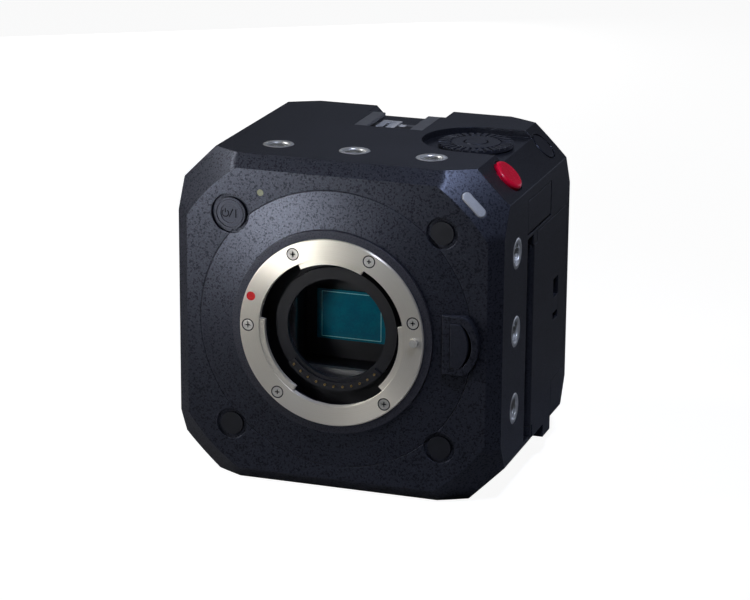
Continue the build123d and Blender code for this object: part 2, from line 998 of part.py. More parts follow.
def make_rear_cover():
    """Back plate with its bevels, the socket bay, the battery bay and the battery guides."""
    hollow = rear_hollow()
    guide_start = battery_bay_floor + bay_back_wall
    groove_low = rear_face - guide_groove
    with BuildPart() as cover:
        add(envelope())
        add(prism(0, rear_lip_depth, flange_to_back), mode=Mode.INTERSECT)
        add(hollow, mode=Mode.SUBTRACT)
        for low, high in (
            (battery_bay[1], battery_bay[1] + guide_width),
            (battery_bay[0] - guide_width, battery_bay[0]),
        ):
            add(block((low, guide_start, guide_low), (high, flange_to_back, guide_top)))
        add(casing_wall, mode=Mode.SUBTRACT)
        add(bay_block(socket_bay, bay_floor), mode=Mode.SUBTRACT)
        add(bay_block(battery_bay, battery_bay_floor), mode=Mode.SUBTRACT)
        for low, high in (
            (battery_bay[1], battery_bay[1] + guide_groove),
            (battery_bay[0] - guide_groove, battery_bay[0]),
        ):
            groove = block(
                (low, groove_low, guide_low - run_out),
                (high, groove_low + guide_groove_width, guide_top + run_out),
            )
            add(groove, mode=Mode.SUBTRACT)
        add(shoe_notch(), mode=Mode.SUBTRACT)
        for at in rear_screw_points:
            add(rod(facing(reach), at, rear_screw_shank, reach), mode=Mode.SUBTRACT)
            seat = facing(rear_face - rear_screw_head_height)
            add(rod(seat, at, rear_screw_head + part_gap, -reach), mode=Mode.SUBTRACT)
        # Room for the battery latch: its finger pocket, its stem and its tongue
        half_long = latch_size[0] / 2 + door_gap
        half_tall = latch_size[1] / 2 + door_gap
        add(
            block(
                (latch_x - half_long, latch_pocket_floor, latch_height - half_tall - latch_travel),
                (latch_x + half_long, reach, latch_height + half_tall),
            ),
            mode=Mode.SUBTRACT,
        )
        add(
            block(
                (latch_x - half_long / 2, rear_lip_depth, latch_height - half_tall - latch_travel),
                (latch_x + half_long / 2, reach, latch_height + half_tall),
            ),
            mode=Mode.SUBTRACT,
        )
        add(
            block(
                (latch_tongue[0] - door_gap, latch_back - door_gap, latch_height),
                (latch_tongue[1] + door_gap, latch_front + door_gap, door_gap - bay_half_height),
            ),
            mode=Mode.SUBTRACT,
        )
    return cover.part


save(make_rear_cover(), "rear_cover")


def polar(radius, angle):
    """Point at a distance and angle from the lens axis."""
    return (radius * cos(radians(angle)), radius * sin(radians(angle)))


# Lens mount
def make_mount_bezel():
    """Shallow cone round the mount, cut away for the plugs, the power button and the release."""
    floor = face_depth + bezel_thickness
    inner = base_outer + part_gap
    outer = bezel_outer - bezel_groove
    cone = (
        (floor, inner),
        (face_depth - bezel_proud, inner),
        (face_depth - part_gap, outer),
        (floor, outer),
    )
    with BuildPart() as bezel:
        add(turned(cone))
        for spot in plug_points:
            seat = facing(face_depth + plug_recess)
            add(rod(seat, spot, plug_recess_radius, reach), mode=Mode.SUBTRACT)
        power_floor = facing(face_depth + power_recess)
        add(rod(power_floor, power_point, power_recess_radius, reach), mode=Mode.SUBTRACT)
        add(rod(facing(floor), power_point, power_radius + button_fit, reach), mode=Mode.SUBTRACT)
        hole = d_block(0, floor, boss_left, boss_right, boss_half_height, boss_shoulder, part_gap)
        add(hole, mode=Mode.SUBTRACT)
    return bezel.part


def make_mount_base():
    """Cast ring that carries the metal mount, with a slot for the release lever."""
    inner_lip = ring_outer + part_gap
    section = (
        (ring_thickness, base_inner),
        (ring_thickness, inner_lip),
        (base_front, inner_lip),
        (base_front, base_outer),
        (base_back, base_outer),
        (base_back, base_inner),
    )
    half_slot = lever_width / 2 + door_gap
    with BuildPart() as base:
        add(turned(section))
        for angle in ring_screw_angles:
            at = polar(ring_screw_circle, angle)
            add(rod(facing(ring_screw_length), at, ring_screw_shank, reach), mode=Mode.SUBTRACT)
        add(rod(facing(base_back), (pin_at, 0), pin_radius + pin_fit, reach), mode=Mode.SUBTRACT)
        add(
            block((0, lever_front - door_gap, -half_slot), (reach, reach, half_slot)),
            mode=Mode.SUBTRACT,
        )
    return base.part


def make_mount_ring():
    """Bayonet ring with its three tabs, screw seats, index mark seat and pin hole."""
    section = (
        (0, ring_throat),
        (0, ring_outer - ring_edge),
        (ring_edge, ring_outer),
        (ring_thickness, ring_outer),
        (ring_thickness, ring_throat),
    )
    tab_back = tab_setback + tab_thickness
    with BuildPart() as ring:
        add(turned(section))
        for start, end in tab_arcs:
            add(
                ring_sector(
                    tab_setback, tab_back, ring_tab_inner, ring_throat + ring_edge, start, end
                )
            )
        for angle in ring_screw_angles:
            at = polar(ring_screw_circle, angle)
            add(rod(facing(screw_seat), at, ring_screw_head + part_gap, reach), mode=Mode.SUBTRACT)
            add(rod(facing(reach), at, ring_screw_shank, 2 * reach), mode=Mode.SUBTRACT)
        dot = rod(facing(index_dot_depth), index_dot_at, index_dot_radius, reach)
        add(dot, mode=Mode.SUBTRACT)
        add(rod(facing(reach), (pin_at, 0), pin_radius + pin_fit, 2 * reach), mode=Mode.SUBTRACT)
    return ring.part


def cross_screw(front, seat, end, at, head, shank):
    """Screw with a flat head and a cross in it, along the lens axis; front may be the back."""
    forward = 1 if front < seat else -1
    cross = head * screw_cross_reach
    slit = head * screw_cross_width
    with BuildPart() as screw:
        add(rod(facing(seat), at, head, (seat - front)))
        add(rod(facing(end), at, shank, (end - seat)))
        with BuildSketch(facing(front)):
            with Locations(at):
                Rectangle(2 * cross, slit)
                Rectangle(slit, 2 * cross)
        sunk = abs(seat - front) * screw_cross_reach
        extrude(amount=-forward * sunk, mode=Mode.SUBTRACT)
    return screw.part


def group(pieces):
    """Several separate solids kept as one node."""
    with BuildPart() as whole:
        for piece in pieces:
            add(piece)
    return whole.part


ring_screws = [
    cross_screw(
        part_gap,
        screw_seat,
        ring_screw_length,
        polar(ring_screw_circle, angle),
        ring_screw_head,
        ring_screw_shank,
    )
    for angle in ring_screw_angles
]
leaf_middles = []
for index, arc in enumerate(tab_arcs):
    later = [other[0] for other in tab_arcs if other[0] > arc[1]]
    following = min(later) if later else min(other[0] for other in tab_arcs) + 360
    leaf_middles.append((arc[1] + following) / 2)
leaves = [
    ring_sector(
        ring_thickness,
        ring_thickness + leaf_thickness,
        ring_throat,
        base_inner,
        middle - leaf_span / 2,
        middle + leaf_span / 2,
    )
    for middle in leaf_middles
]
save(make_mount_bezel(), "mount_bezel")
save(make_mount_base(), "mount_base")
save(make_mount_ring(), "mount_ring")
save(group(ring_screws), "mount_ring_screws")
save(
    rod(facing(index_dot_depth), index_dot_at, index_dot_radius, index_dot_depth),
    "mount_index_dot",
)
save(group(leaves), "mount_leaf_springs")

# Throat behind the mount
baffle_back = baffle_front + baffle_wall
baffle_edge = base_inner - part_gap
baffle_inner = baffle_shelf - baffle_wall
baffle_section = (
    (baffle_front, baffle_opening),
    (baffle_front, baffle_shelf),
    (baffle_channel, baffle_shelf),
    (baffle_channel, baffle_edge),
    (base_back, baffle_edge),
    (base_back, baffle_inner),
    (baffle_back, baffle_inner),
    (baffle_back, baffle_opening),
)
save(turned(baffle_section), "throat_baffle")
contact_face = baffle_front - contact_block_height
save(
    ring_sector(
        contact_face,
        baffle_front,
        contact_block_inner,
        baffle_shelf,
        contact_first - contact_block_margin,
        contact_last + contact_block_margin,
    ),
    "contact_block",
)
contact_step = (contact_last - contact_first) / (contact_count - 1)
contacts = [
    rod(
        facing(contact_face),
        polar(contact_circle, contact_first + contact_step * index),
        contact_radius,
        contact_proud,
    )
    for index in range(contact_count)
]
save(group(contacts), "lens_contacts")

# Inner frame, sensor chamber and sensor stack
frame_back = base_back + frame_plate
sensor_back = flange_focal_distance + sensor_package
glass_back = flange_focal_distance - glass_to_sensor


def make_front_frame():
    """Metal plate behind the mount, with pillars that take the front cover's screws."""
    with BuildPart() as frame:
        with BuildSketch(facing(frame_back)):
            octagon(wall + cover_lip + door_gap)
            Rectangle(chamber_width, chamber_height, mode=Mode.SUBTRACT)
        extrude(amount=frame_plate)
        for spot in plug_points:
            add(rod(facing(base_back), spot, pillar_radius, base_back - cover_inside))
        inside = envelope(cover_plate, 0, wall + cover_lip + door_gap)
        add(inside, mode=Mode.INTERSECT)
        for spot in plug_points:
            add(rod(facing(frame_back), spot, cover_screw_shank, reach), mode=Mode.SUBTRACT)
    return frame.part


def tube_block(front, back, width, height, side):
    """Rectangular tube along the lens axis, given by its inside."""
    with BuildPart() as tube:
        with BuildSketch(facing(back)):
            Rectangle(width + 2 * side, height + 2 * side)
            Rectangle(width, height, mode=Mode.SUBTRACT)
        extrude(amount=back - front)
    return tube.part


def plate(front, back, width, height):
    """Rectangular plate square to the lens axis."""
    return block((-width / 2, front, -height / 2), (width / 2, back, height / 2))


def make_sensor_frame():
    """Black plate that holds the cover glass, with a window for the sensor."""
    margin = 2 * door_gap
    with BuildPart() as frame:
        add(plate(glass_back, sensor_back, chamber_width - part_gap, chamber_height - part_gap))
        window = plate(0, reach, sensor_width + 2 * margin, sensor_height + 2 * margin)
        add(window, mode=Mode.SUBTRACT)
    return frame.part


def make_heat_sink():
    """Metal plate behind the sensor board with level fins."""
    start = sensor_back + board_thickness
    pitch = (sink_height - fin_thickness) / (fin_count - 1)
    with BuildPart() as sink:
        add(plate(start, start + sink_base, sink_width, sink_height))
        for index in range(fin_count):
            low = index * pitch - sink_height / 2
            add(
                block(
                    (-sink_width / 2, start + sink_base, low),
                    (sink_width / 2, start + sink_base + fin_height, low + fin_thickness),
                )
            )
    return sink.part


save(make_front_frame(), "front_frame")
save(
    tube_block(frame_back, sensor_back, chamber_width, chamber_height, chamber_wall),
    "sensor_chamber",
)
save(make_sensor_frame(), "sensor_frame")
save(plate(glass_back - glass_thickness, glass_back, glass_width, glass_height), "sensor_cover_glass")
save(plate(flange_focal_distance, sensor_back, sensor_width, sensor_height), "image_sensor")
save(
    plate(sensor_back, sensor_back + board_thickness, sensor_board_width, sensor_board_height),
    "sensor_board",
)
save(make_heat_sink(), "heat_sink")

# Fan behind the air slots
fan_outside = -side_floor
fan_inside = fan_outside + fan_thickness
fan_plate_face = fan_inside - fan_plate
fan_front = fan_outside + fan_front_gap
fan_middle = (fan_outside + fan_plate_face) / 2


def make_fan_housing():
    """Square fan frame with a centre post held by three arms on its inner side."""
    with BuildPart() as housing:
        with BuildSketch(upright(fan_outside)):
            with Locations((fan_depth, 0)):
                Rectangle(fan_size, fan_size)
                Circle(fan_bore, mode=Mode.SUBTRACT)
        extrude(amount=fan_thickness)
        with BuildSketch(upright(fan_plate_face)):
            with Locations((fan_depth, 0)):
                Circle(fan_hub)
            with Locations((fan_depth, 0)):
                with PolarLocations(fan_bore / 2, 3):
                    Rectangle(fan_bore + fan_plate, fan_arm_width)
        extrude(amount=fan_inside - fan_plate_face)
        with BuildSketch(upright(fan_plate_face)):
            with Locations((fan_depth, 0)):
                Circle(fan_pin)
        extrude(amount=fan_front - fan_plate_face)
    return housing.part


def make_fan_rotor():
    """Hub with pitched blades that turns on the post."""
    length = fan_plate_face - fan_end_gap - fan_front
    root_radius = fan_hub - fan_blade_thickness
    with BuildPart() as rotor:
        add(rod(upright(fan_front), (fan_depth, 0), fan_hub, length))
        for index in range(fan_blades):
            turn = radians(360 / fan_blades * index)
            outward = Vector(0, cos(turn), sin(turn))
            root = Vector(fan_middle, fan_depth - mid_depth, axis_height) + outward * root_radius
            with BuildSketch(Plane(origin=root, x_dir=(1, 0, 0), z_dir=outward)):
                Rectangle(fan_blade_chord, fan_blade_thickness, rotation=fan_blade_pitch)
            extrude(amount=fan_bore - fan_tip_gap - root_radius)
        hole = rod(upright(fan_front), (fan_depth, 0), fan_pin + part_gap, length)
        add(hole, mode=Mode.SUBTRACT)
    return rotor.part


save(make_fan_housing(), "fan_housing")
save(make_fan_rotor(), "fan_rotor")

# Main board and the spacers that carry it on the back of the bays
board_back = main_board_depth + board_thickness
spacer_height = bay_half_height - spacer_end_gap
spacers = []
for across, end in (
    (main_board_left + spacer_inset, bay_floor - bay_back_wall),
    (main_board_right - spacer_inset, battery_bay_floor - bay_back_wall),
):
    for up in (-spacer_height, spacer_height):
        spacers.append(rod(facing(end), (across, up), spacer_radius, end - board_back))
save(
    block(
        (main_board_left, main_board_depth, main_board_low),
        (main_board_right, board_back, main_board_top),
    ),
    "main_board",
)
save(group(spacers), "board_spacers")


# Lens release
def make_release_boss():
    """Raised D-shaped surround of the lens release button."""
    with BuildPart() as boss:
        add(
            d_block(boss_front, cover_inside, boss_left, boss_right, boss_half_height, boss_shoulder)
        )
        fillet(boss.faces().sort_by(Axis.Y)[0].edges(), boss_rounding)
        pocket = d_block(
            0,
            cover_inside,
            release_left - release_gap,
            release_right + release_side_gap,
            release_half_height + release_gap,
            release_shoulder + release_gap,
        )
        add(pocket, mode=Mode.SUBTRACT)
    return boss.part


def make_release_button():
    """D-shaped push button with a skirt behind the cover that bears on the lever."""
    with BuildPart() as button:
        add(
            d_block(
                boss_front - release_proud,
                lever_back,
                release_left,
                release_right,
                release_half_height,
                release_shoulder,
            )
        )
        fillet(button.faces().sort_by(Axis.Y)[0].edges(), release_rounding)
        add(
            d_block(
                lever_front,
                lever_back,
                release_left - release_skirt,
                release_right + release_side_gap + release_skirt,
                release_half_height + release_skirt,
                release_shoulder,
            )
        )
    return button.part


def make_release_lever():
    """Flat link from the button to the lock pin, in the slot of the mount base."""
    with BuildPart() as lever:
        add(
            block(
                (base_inner + part_gap, lever_front, -lever_width / 2),
                (release_left - release_skirt, lever_back, lever_width / 2),
            )
        )
        add(rod(facing(reach), (pin_at, 0), pin_radius, reach), mode=Mode.SUBTRACT)
    return lever.part


save(make_release_boss(), "release_boss")
save(make_release_button(), "lens_release_button")
save(make_release_lever(), "release_lever")
save(rod(facing(lever_back), (pin_at, 0), pin_radius, lever_back + pin_proud), "lens_lock_pin")

# Front cover screws and the rubber plugs over them
screw_back = cover_screw_seat + cover_screw_head_height
cover_screws = [
    cross_screw(
        cover_screw_seat + part_gap,
        screw_back,
        screw_back + cover_screw_length,
        spot,
        cover_screw_head,
        cover_screw_shank,
    )
    for spot in plug_points
]
plug_front = face_depth + plug_setback
plugs = [
    rod(facing(cover_screw_seat), spot, plug_radius, cover_screw_seat - plug_front)
    for spot in plug_points
]
save(group(cover_screws), "front_cover_screws")
save(group(plugs), "front_screw_plugs")


# Power button, lamp and light on the front
def make_power_button():
    """Round push button with a ring groove, a finger dish and a skirt behind the cover."""
    front = face_depth - plug_setback
    skirt_front = cover_inside + part_gap
    with BuildPart() as button:
        add(rod(facing(skirt_front), power_point, power_radius, skirt_front - front))
        skirt_length = power_skirt_back - skirt_front
        add(rod(facing(power_skirt_back), power_point, power_radius + power_skirt, skirt_length))
        with BuildSketch(facing(front)):
            with Locations(power_point):
                Circle(power_dish + power_ring_gap + power_ring_width)
                Circle(power_dish + power_ring_gap, mode=Mode.SUBTRACT)
        extrude(amount=-power_ring_depth, mode=Mode.SUBTRACT)
        with BuildSketch(facing(front)):
            with Locations(power_point):
                Circle(power_dish)
        extrude(amount=-power_dish_depth, mode=Mode.SUBTRACT)
    return button.part


power_skirt_back = cover_inside + part_gap + lever_thickness
save(make_power_button(), "power_button")
save(rod(facing(cover_inside), led_at, led_radius, cover_plate), "power_led")
with BuildPart() as tally_lamp:
    add(slot_bar(lamp_plane(-lamp_thickness), lamp_length, lamp_width, lamp_thickness + lamp_proud))
    lamp_top = tally_lamp.faces().sort_by(Axis(lamp_plane(0).origin, lamp_plane(0).z_dir))[-1]
    fillet(lamp_top.edges(), lamp_rounding)
save(tally_lamp.part, "tally_lamp")


# Buttons on the upper chamfers
def chamfer_button(side, depth, radius, proud, rounding):
    """Push button square to a chamfer, with a skirt inside that keeps it in."""
    skirt_top = -wall - part_gap
    skirt_low = skirt_top - button_flange
    face = chamfer_plane(side)
    with BuildPart() as button:
        add(rod(face.offset(skirt_top), (depth, 0), radius, proud - skirt_top))
        crown = button.faces().sort_by(Axis(face.origin, face.z_dir))[-1]
        fillet(crown.edges(), rounding)
        add(rod(face.offset(skirt_low), (depth, 0), radius + button_skirt, button_flange))
    return button.part


save(chamfer_button(1, rec_depth, rec_radius, rec_proud, rec_rounding), "rec_button")
small_cap = (cancel_radius, small_button_proud, small_button_rounding)
save(chamfer_button(1, cancel_depth, *small_cap), "cancel_button")
left_names = ("function_button", "quick_menu_button", "playback_button")
for name, depth in zip(left_names, left_button_depths):
    save(chamfer_button(-1, depth, *small_cap), name)


def button_board(side):
    """Long narrow switch board under one chamfer."""
    middle = (frame_back + rear_lip_depth) / 2
    with BuildPart() as board:
        with BuildSketch(chamfer_plane(side, -button_board_drop)):
            with Locations((middle, 0)):
                Rectangle(rear_lip_depth - frame_back, button_board_width)
        extrude(amount=-board_thickness)
    return board.part


dome_height = button_board_drop - wall - part_gap - button_flange - button_travel - switch_slack
domes = chamfer_wells(
    switch_dome_radius,
    -button_board_drop,
    dome_height,
    (rec_depth, cancel_depth),
    left_button_depths,
)
power_dome = base_back - power_skirt_back - power_travel - switch_slack
domes.append(rod(facing(base_back), power_point, switch_dome_radius, power_dome))

# Control dial with the menu button in its middle
dial_low = recess_floor + dial_clear
dial_top = dial_low + dial_height
hub_low = dial_low - dial_hub_length
encoder_low = hub_low - dial_clear
menu_low = encoder_low + menu_dome + menu_travel + switch_slack
domes.append(rod(level(encoder_low), dial_at, switch_dome_radius, menu_dome))


def make_control_dial():
    """Ribbed dial with a hollow hub that turns in the casing."""
    rib_start = dial_rib_inner - dial_rib_cut / 2
    rib_end = dial_radius + dial_rib_width
    with BuildPart() as dial:
        add(rod(level(dial_low), dial_at, dial_radius, dial_height))
        add(rod(level(hub_low), dial_at, dial_hub, dial_hub_length + dial_height / 2))
        with BuildSketch(level(dial_top - dial_rib_cut)):
            with Locations(dial_at):
                with PolarLocations((rib_start + rib_end) / 2, dial_ribs):
                    Rectangle(rib_end - rib_start, dial_rib_width)
        extrude(amount=run_out, mode=Mode.SUBTRACT)
        with BuildSketch(level(dial_top - dial_rib_cut)):
            with Locations(dial_at):
                Circle(dial_rib_inner)
                Circle(dial_rib_inner - dial_rib_cut, mode=Mode.SUBTRACT)
        extrude(amount=run_out, mode=Mode.SUBTRACT)
        add(rod(level(-reach), dial_at, dial_bore, 2 * reach), mode=Mode.SUBTRACT)
    return dial.part


def make_dial_encoder():
    """Square housing under the dial that reads it and stops it from lifting out."""
    cavity = clip_outer + door_gap
    half = encoder_size / 2
    bottom = encoder_low - encoder_floor
    with BuildPart() as encoder:
        add(
            block(
                (dial_at[0] - half, dial_at[1] - half, bottom),
                (dial_at[0] + half, dial_at[1] + half, pad_floor),
            )
        )
        add(rod(level(encoder_low), dial_at, cavity, reach), mode=Mode.SUBTRACT)
    return encoder.part


def make_menu_button():
    """Push button in the middle of the dial, with a stem down to its switch."""
    with BuildPart() as button:
        cap = rod(level(dial_low), dial_at, menu_radius, dial_height + menu_proud)
        add(cap)
        fillet(button.faces().sort_by(Axis.Z)[-1].edges(), menu_rounding)
        add(rod(level(menu_low), dial_at, menu_stem, dial_low - menu_low))
    return button.part


with BuildPart() as dial_clip:
    clip_low = pad_floor - door_gap - clip_thickness
    with BuildSketch(level(clip_low)):
        with Locations(dial_at):
            Circle(clip_outer)
            Circle(dial_hub, mode=Mode.SUBTRACT)
    extrude(amount=clip_thickness)

save(group([button_board(1), button_board(-1)]), "button_boards")
save(group(domes), "switch_domes")
save(make_control_dial(), "control_dial")
save(dial_clip.part, "dial_clip")
save(make_dial_encoder(), "dial_encoder")
save(make_menu_button(), "menu_button")


# Accessory shoe
def make_hot_shoe():
    """Folded metal shoe: a base, two sides and two rails over the slot."""
    half = shoe_width / 2 - part_gap
    inner = shoe_inner / 2
    lip = shoe_opening / 2
    base_top = shoe_floor + shoe_base
    rail_low = half_height - shoe_rail
    with BuildPart() as shoe:
        with BuildSketch(facing(shoe_depth + shoe_length)):
            with BuildLine():
                Polyline(
                    (-half, shoe_floor),
                    (half, shoe_floor),
                    (half, half_height),
                    (lip, half_height),
                    (lip, rail_low),
                    (inner, rail_low),
                    (inner, base_top),
                    (-inner, base_top),
                    (-inner, rail_low),
                    (-lip, rail_low),
                    (-lip, half_height),
                    (-half, half_height),
                    close=True,
                )
            make_face()
        extrude(amount=shoe_length - part_gap)
    return shoe.part


def make_shoe_contacts():
    """Black plate on the shoe's base with one large and four small contacts."""
    low = shoe_floor + shoe_base
    half = shoe_contact_width / 2
    top = low + shoe_contact_plate
    start = shoe_depth + shoe_contact_start
    with BuildPart() as contacts:
        add(block((-half, start, low), (half, start + shoe_contact_width, top)))
        with BuildSketch(level(top)):
            with Locations((0, start + half)):
                Circle(shoe_middle_pad)
                with GridLocations(shoe_pad_pitch, shoe_pad_pitch, 2, 2):
                    Circle(shoe_small_pad)
        extrude(amount=shoe_pad_proud)
    return contacts.part


save(make_hot_shoe(), "hot_shoe")
save(make_shoe_contacts(), "hot_shoe_contacts")


# Mounting threads
def thread_insert(face, at):
    """Blind metal insert with a bevelled mouth, flush with an outer face."""
    with BuildPart() as insert:
        add(rod(face, at, insert_radius, -insert_length))
        bore = rod(face, at, thread_hole_radius, -(insert_length - insert_floor))
        add(bore, mode=Mode.SUBTRACT)
        mouths = insert.edges().filter_by(GeomType.CIRCLE)
        mouths = [edge for edge in mouths if abs(edge.radius - thread_hole_radius) < part_gap]
        rim = max(mouths, key=lambda edge: (edge.arc_center - face.origin).dot(face.z_dir))
        chamfer(rim, thread_mouth)
    return insert.part


save(group([thread_insert(face, at) for face, at in insert_places()]), "thread_inserts")

# Port door and the sound sockets behind it
port_hinge_radius = port_door_thickness / 2
port_hinge_x = half_width - port_hinge_radius
port_hinge_height = port_door_low + port_hinge_radius
with BuildPart() as port_door:
    add(
        block(
            (half_width - port_door_thickness, port_door_start, port_hinge_height),
            (half_width, port_door_end, port_door_top),
        )
    )
    with BuildSketch(facing(port_door_end)):
        with Locations((port_hinge_x, port_hinge_height)):
            Circle(port_hinge_radius)
    extrude(amount=port_door_end - port_door_start)
save(port_door.part, "port_door")

socket_face = half_width - port_door_thickness - door_gap


def sound_socket(depth):
    """Round jack socket that faces out to the right."""
    with BuildPart() as socket:
        add(rod(upright(socket_face), (depth, audio_height), audio_radius, -audio_length))
        bore_length = audio_length - run_out
        bore = rod(upright(socket_face), (depth, audio_height), audio_bore, -bore_length)
        add(bore, mode=Mode.SUBTRACT)
    return socket.part


save(group([sound_socket(depth) for depth in audio_depths]), "audio_sockets")

# Card door, its pin and its lock
barrel_back = card_door_start + barrel_radius
lock_half = lock_slot_width / 2 - part_gap * 2


def make_card_door():
    """L-shaped door with a hinge barrel in front, a slot for its lock and a thumb block."""
    barrel_top = knuckle_low - door_gap
    with BuildPart() as foot:
        add(
            block(
                (plate_inside, barrel_back + door_gap, -reach),
                (half_width, thumb_end, card_door_low),
            )
        )
        add(casing_outside, mode=Mode.INTERSECT)
    with BuildPart() as door:
        add(
            block(
                (plate_inside, card_door_start, card_door_low),
                (half_width, card_door_end, card_door_top),
            )
        )
        add(
            block(
                (plate_inside, card_door_start, barrel_low),
                (half_width, barrel_back + door_gap, card_door_low),
            )
        )
        add(foot.part)
        add(thumb_profile(thumb_start, thumb_end, door_gap, card_door_low))
        add(
            block(
                (0, card_door_start - barrel_radius, barrel_top),
                (reach, knuckle_end + knuckle_gap, card_door_top),
            ),
            mode=Mode.SUBTRACT,
        )
        add(
            rod(
                level(barrel_low),
                (hinge_x, card_door_start),
                barrel_radius,
                barrel_top - barrel_low,
            )
        )
        add(
            rod(
                level(-reach), (hinge_x, card_door_start), hinge_pin_radius + hinge_fit, 2 * reach
            ),
            mode=Mode.SUBTRACT,
        )
        add(
            block(
                (0, lock_depth - lock_slot_width / 2, lock_slot[0]),
                (reach, lock_depth + lock_slot_width / 2, lock_slot[1]),
            ),
            mode=Mode.SUBTRACT,
        )
    return door.part


def make_card_door_lock():
    """Sliding knob in the door's slot with a wider flange behind the door."""
    flange_out = plate_inside - part_gap
    flange_in = flange_out - lock_flange
    with BuildPart() as lock:
        add(
            block(
                (flange_in, lock_depth - lock_half, lock_knob[0]),
                (half_width, lock_depth + lock_half, lock_knob[1]),
            )
        )
        add(
            block(
                (flange_in, lock_depth - lock_half - lock_rim, lock_knob[0] - lock_rim),
                (flange_out, lock_depth + lock_half + lock_rim, lock_knob[1] + lock_rim),
            )
        )
    return lock.part


save(make_card_door(), "card_door")
save(
    rod(
        level(hinge_low_end),
        (hinge_x, card_door_start),
        hinge_pin_radius,
        hinge_top_end - hinge_low_end,
    ),
    "card_door_pin",
)
save(make_card_door_lock(), "card_door_lock")


# Card slots and cards
def make_card_slots():
    """Housing on the main board with one through slot for each card."""
    half = card_width / 2 + card_unit_rim
    front = card_depths[0] - card_thickness / 2 - card_unit_rim
    with BuildPart() as slots:
        add(
            block(
                (side_pad_inside - card_unit_length, front, card_centre - half),
                (side_pad_inside, main_board_depth, card_centre + half),
            )
        )
        for depth in card_depths:
            thick = card_thickness / 2 + card_fit
            tall = card_width / 2 + card_fit
            add(
                block(
                    (-reach, depth - thick, card_centre - tall),
                    (reach, depth + thick, card_centre + tall),
                ),
                mode=Mode.SUBTRACT,
            )
    return slots.part


def memory_card(depth):
    """Memory card with one cut corner."""
    with BuildPart() as card:
        with BuildSketch(facing(depth + card_thickness / 2)):
            with Locations((card_front - card_length / 2, card_centre)):
                Rectangle(card_length, card_width)
            inner_corner = vertices().sort_by(Axis.X)[0:2].sort_by(Axis.Z)[0]
            chamfer(inner_corner, card_corner)
        extrude(amount=card_thickness)
    return card.part


save(make_card_slots(), "card_slots")
for index, depth in enumerate(card_depths):
    save(memory_card(depth), f"memory_card_{index + 1}")


# Sockets in the rear bay
# The jacks and the remote socket stand in one row, the other sockets in a second one.
jack_heights = [jack_top - index * jack_pitch for index in range(jack_count)]
row_sizes = (
    network_size[1],
    video_socket_size[1] + 2 * flat_socket_skin,
    data_socket_size[1] + 2 * flat_socket_skin,
    2 * power_socket_radius,
    2 * plug_socket_radius,
)
row_gap = (2 * bay_half_height - sum(row_sizes)) / (len(row_sizes) + 1)
row_heights = []
row_edge = bay_half_height
for size in row_sizes:
    row_heights.append(row_edge - row_gap - size / 2)
    row_edge -= row_gap + size
network_height, video_height, data_height, power_height, headphone_height = row_heights


def video_jack(height):
    """Round bayonet jack with two lugs and a centre contact."""
    at = (jack_x, height)
    end = bay_floor + jack_length
    floor = bay_floor + jack_base
    lug_half = jack_radius + jack_lug_reach
    with BuildPart() as jack:
        with BuildSketch(facing(bay_floor)):
            with Locations(at):
                RegularPolygon(jack_radius + jack_nut_rim, 6)
        extrude(amount=-jack_nut_thickness)
        add(rod(facing(bay_floor), at, jack_radius, -jack_length))
        lug_at = (end - jack_lug_back, height)
        add(rod(upright(jack_x - lug_half), lug_at, jack_lug_radius, 2 * lug_half))
        add(rod(facing(floor), at, jack_bore, -reach), mode=Mode.SUBTRACT)
        pin_length = jack_length - jack_base - jack_pin_gap
        add(rod(facing(floor), at, jack_pin_radius, -pin_length))
    return jack.part


def make_network_socket():
    """Shielded square socket with its mouth to the rear."""
    half_wide = network_size[0] / 2
    half_tall = network_size[1] / 2
    mouth_wide = network_mouth[0] / 2
    mouth_tall = network_mouth[1] / 2
    end = bay_floor + network_length
    with BuildPart() as socket:
        add(
            block(
                (socket_x - half_wide, bay_floor, network_height - half_tall),
                (socket_x + half_wide, end, network_height + half_tall),
            )
        )
        add(
            block(
                (socket_x - mouth_wide, bay_floor + network_wall, network_height - mouth_tall),
                (socket_x + mouth_wide, reach, network_height + mouth_tall),
            ),
            mode=Mode.SUBTRACT,
        )
    return socket.part


def flat_socket(height, size, tongue):
    """Flat metal socket with round ends and a tongue in it."""
    width, tall = size
    with BuildPart() as socket:
        with BuildSketch(facing(bay_floor)):
            with Locations((socket_x, height)):
                SlotOverall(width + 2 * flat_socket_skin, tall + 2 * flat_socket_skin)
        extrude(amount=-flat_socket_length)
        with BuildSketch(facing(bay_floor + socket_base)):
            with Locations((socket_x, height)):
                SlotOverall(width, tall)
                Rectangle(tongue, tall * socket_tongue_share, mode=Mode.SUBTRACT)
        extrude(amount=-flat_socket_length, mode=Mode.SUBTRACT)
    return socket.part


def round_socket(at, radius, bore, pin, length):
    """Round socket with a bore and an optional centre pin."""
    with BuildPart() as socket:
        add(rod(facing(bay_floor), at, radius, -length))
        add(rod(facing(bay_floor + socket_base), at, bore, -reach), mode=Mode.SUBTRACT)
        if pin:
            add(rod(facing(bay_floor), at, pin, socket_pin_gap - length))
    return socket.part


save(group([video_jack(height) for height in jack_heights]), "bnc_jacks")
save(make_network_socket(), "network_socket")
save(
    group(
        [
            flat_socket(video_height, video_socket_size, video_socket_tongue),
            flat_socket(data_height, data_socket_size, data_socket_tongue),
            round_socket(
                (socket_x, power_height),
                power_socket_radius,
                power_socket_bore,
                power_socket_pin,
                power_socket_length,
            ),
            round_socket(
                (socket_x, headphone_height), plug_socket_radius, headphone_bore, 0, plug_socket_length
            ),
            round_socket(
                (jack_x, remote_height), plug_socket_radius, remote_bore, 0, plug_socket_length
            ),
        ]
    ),
    "rear_sockets",
)


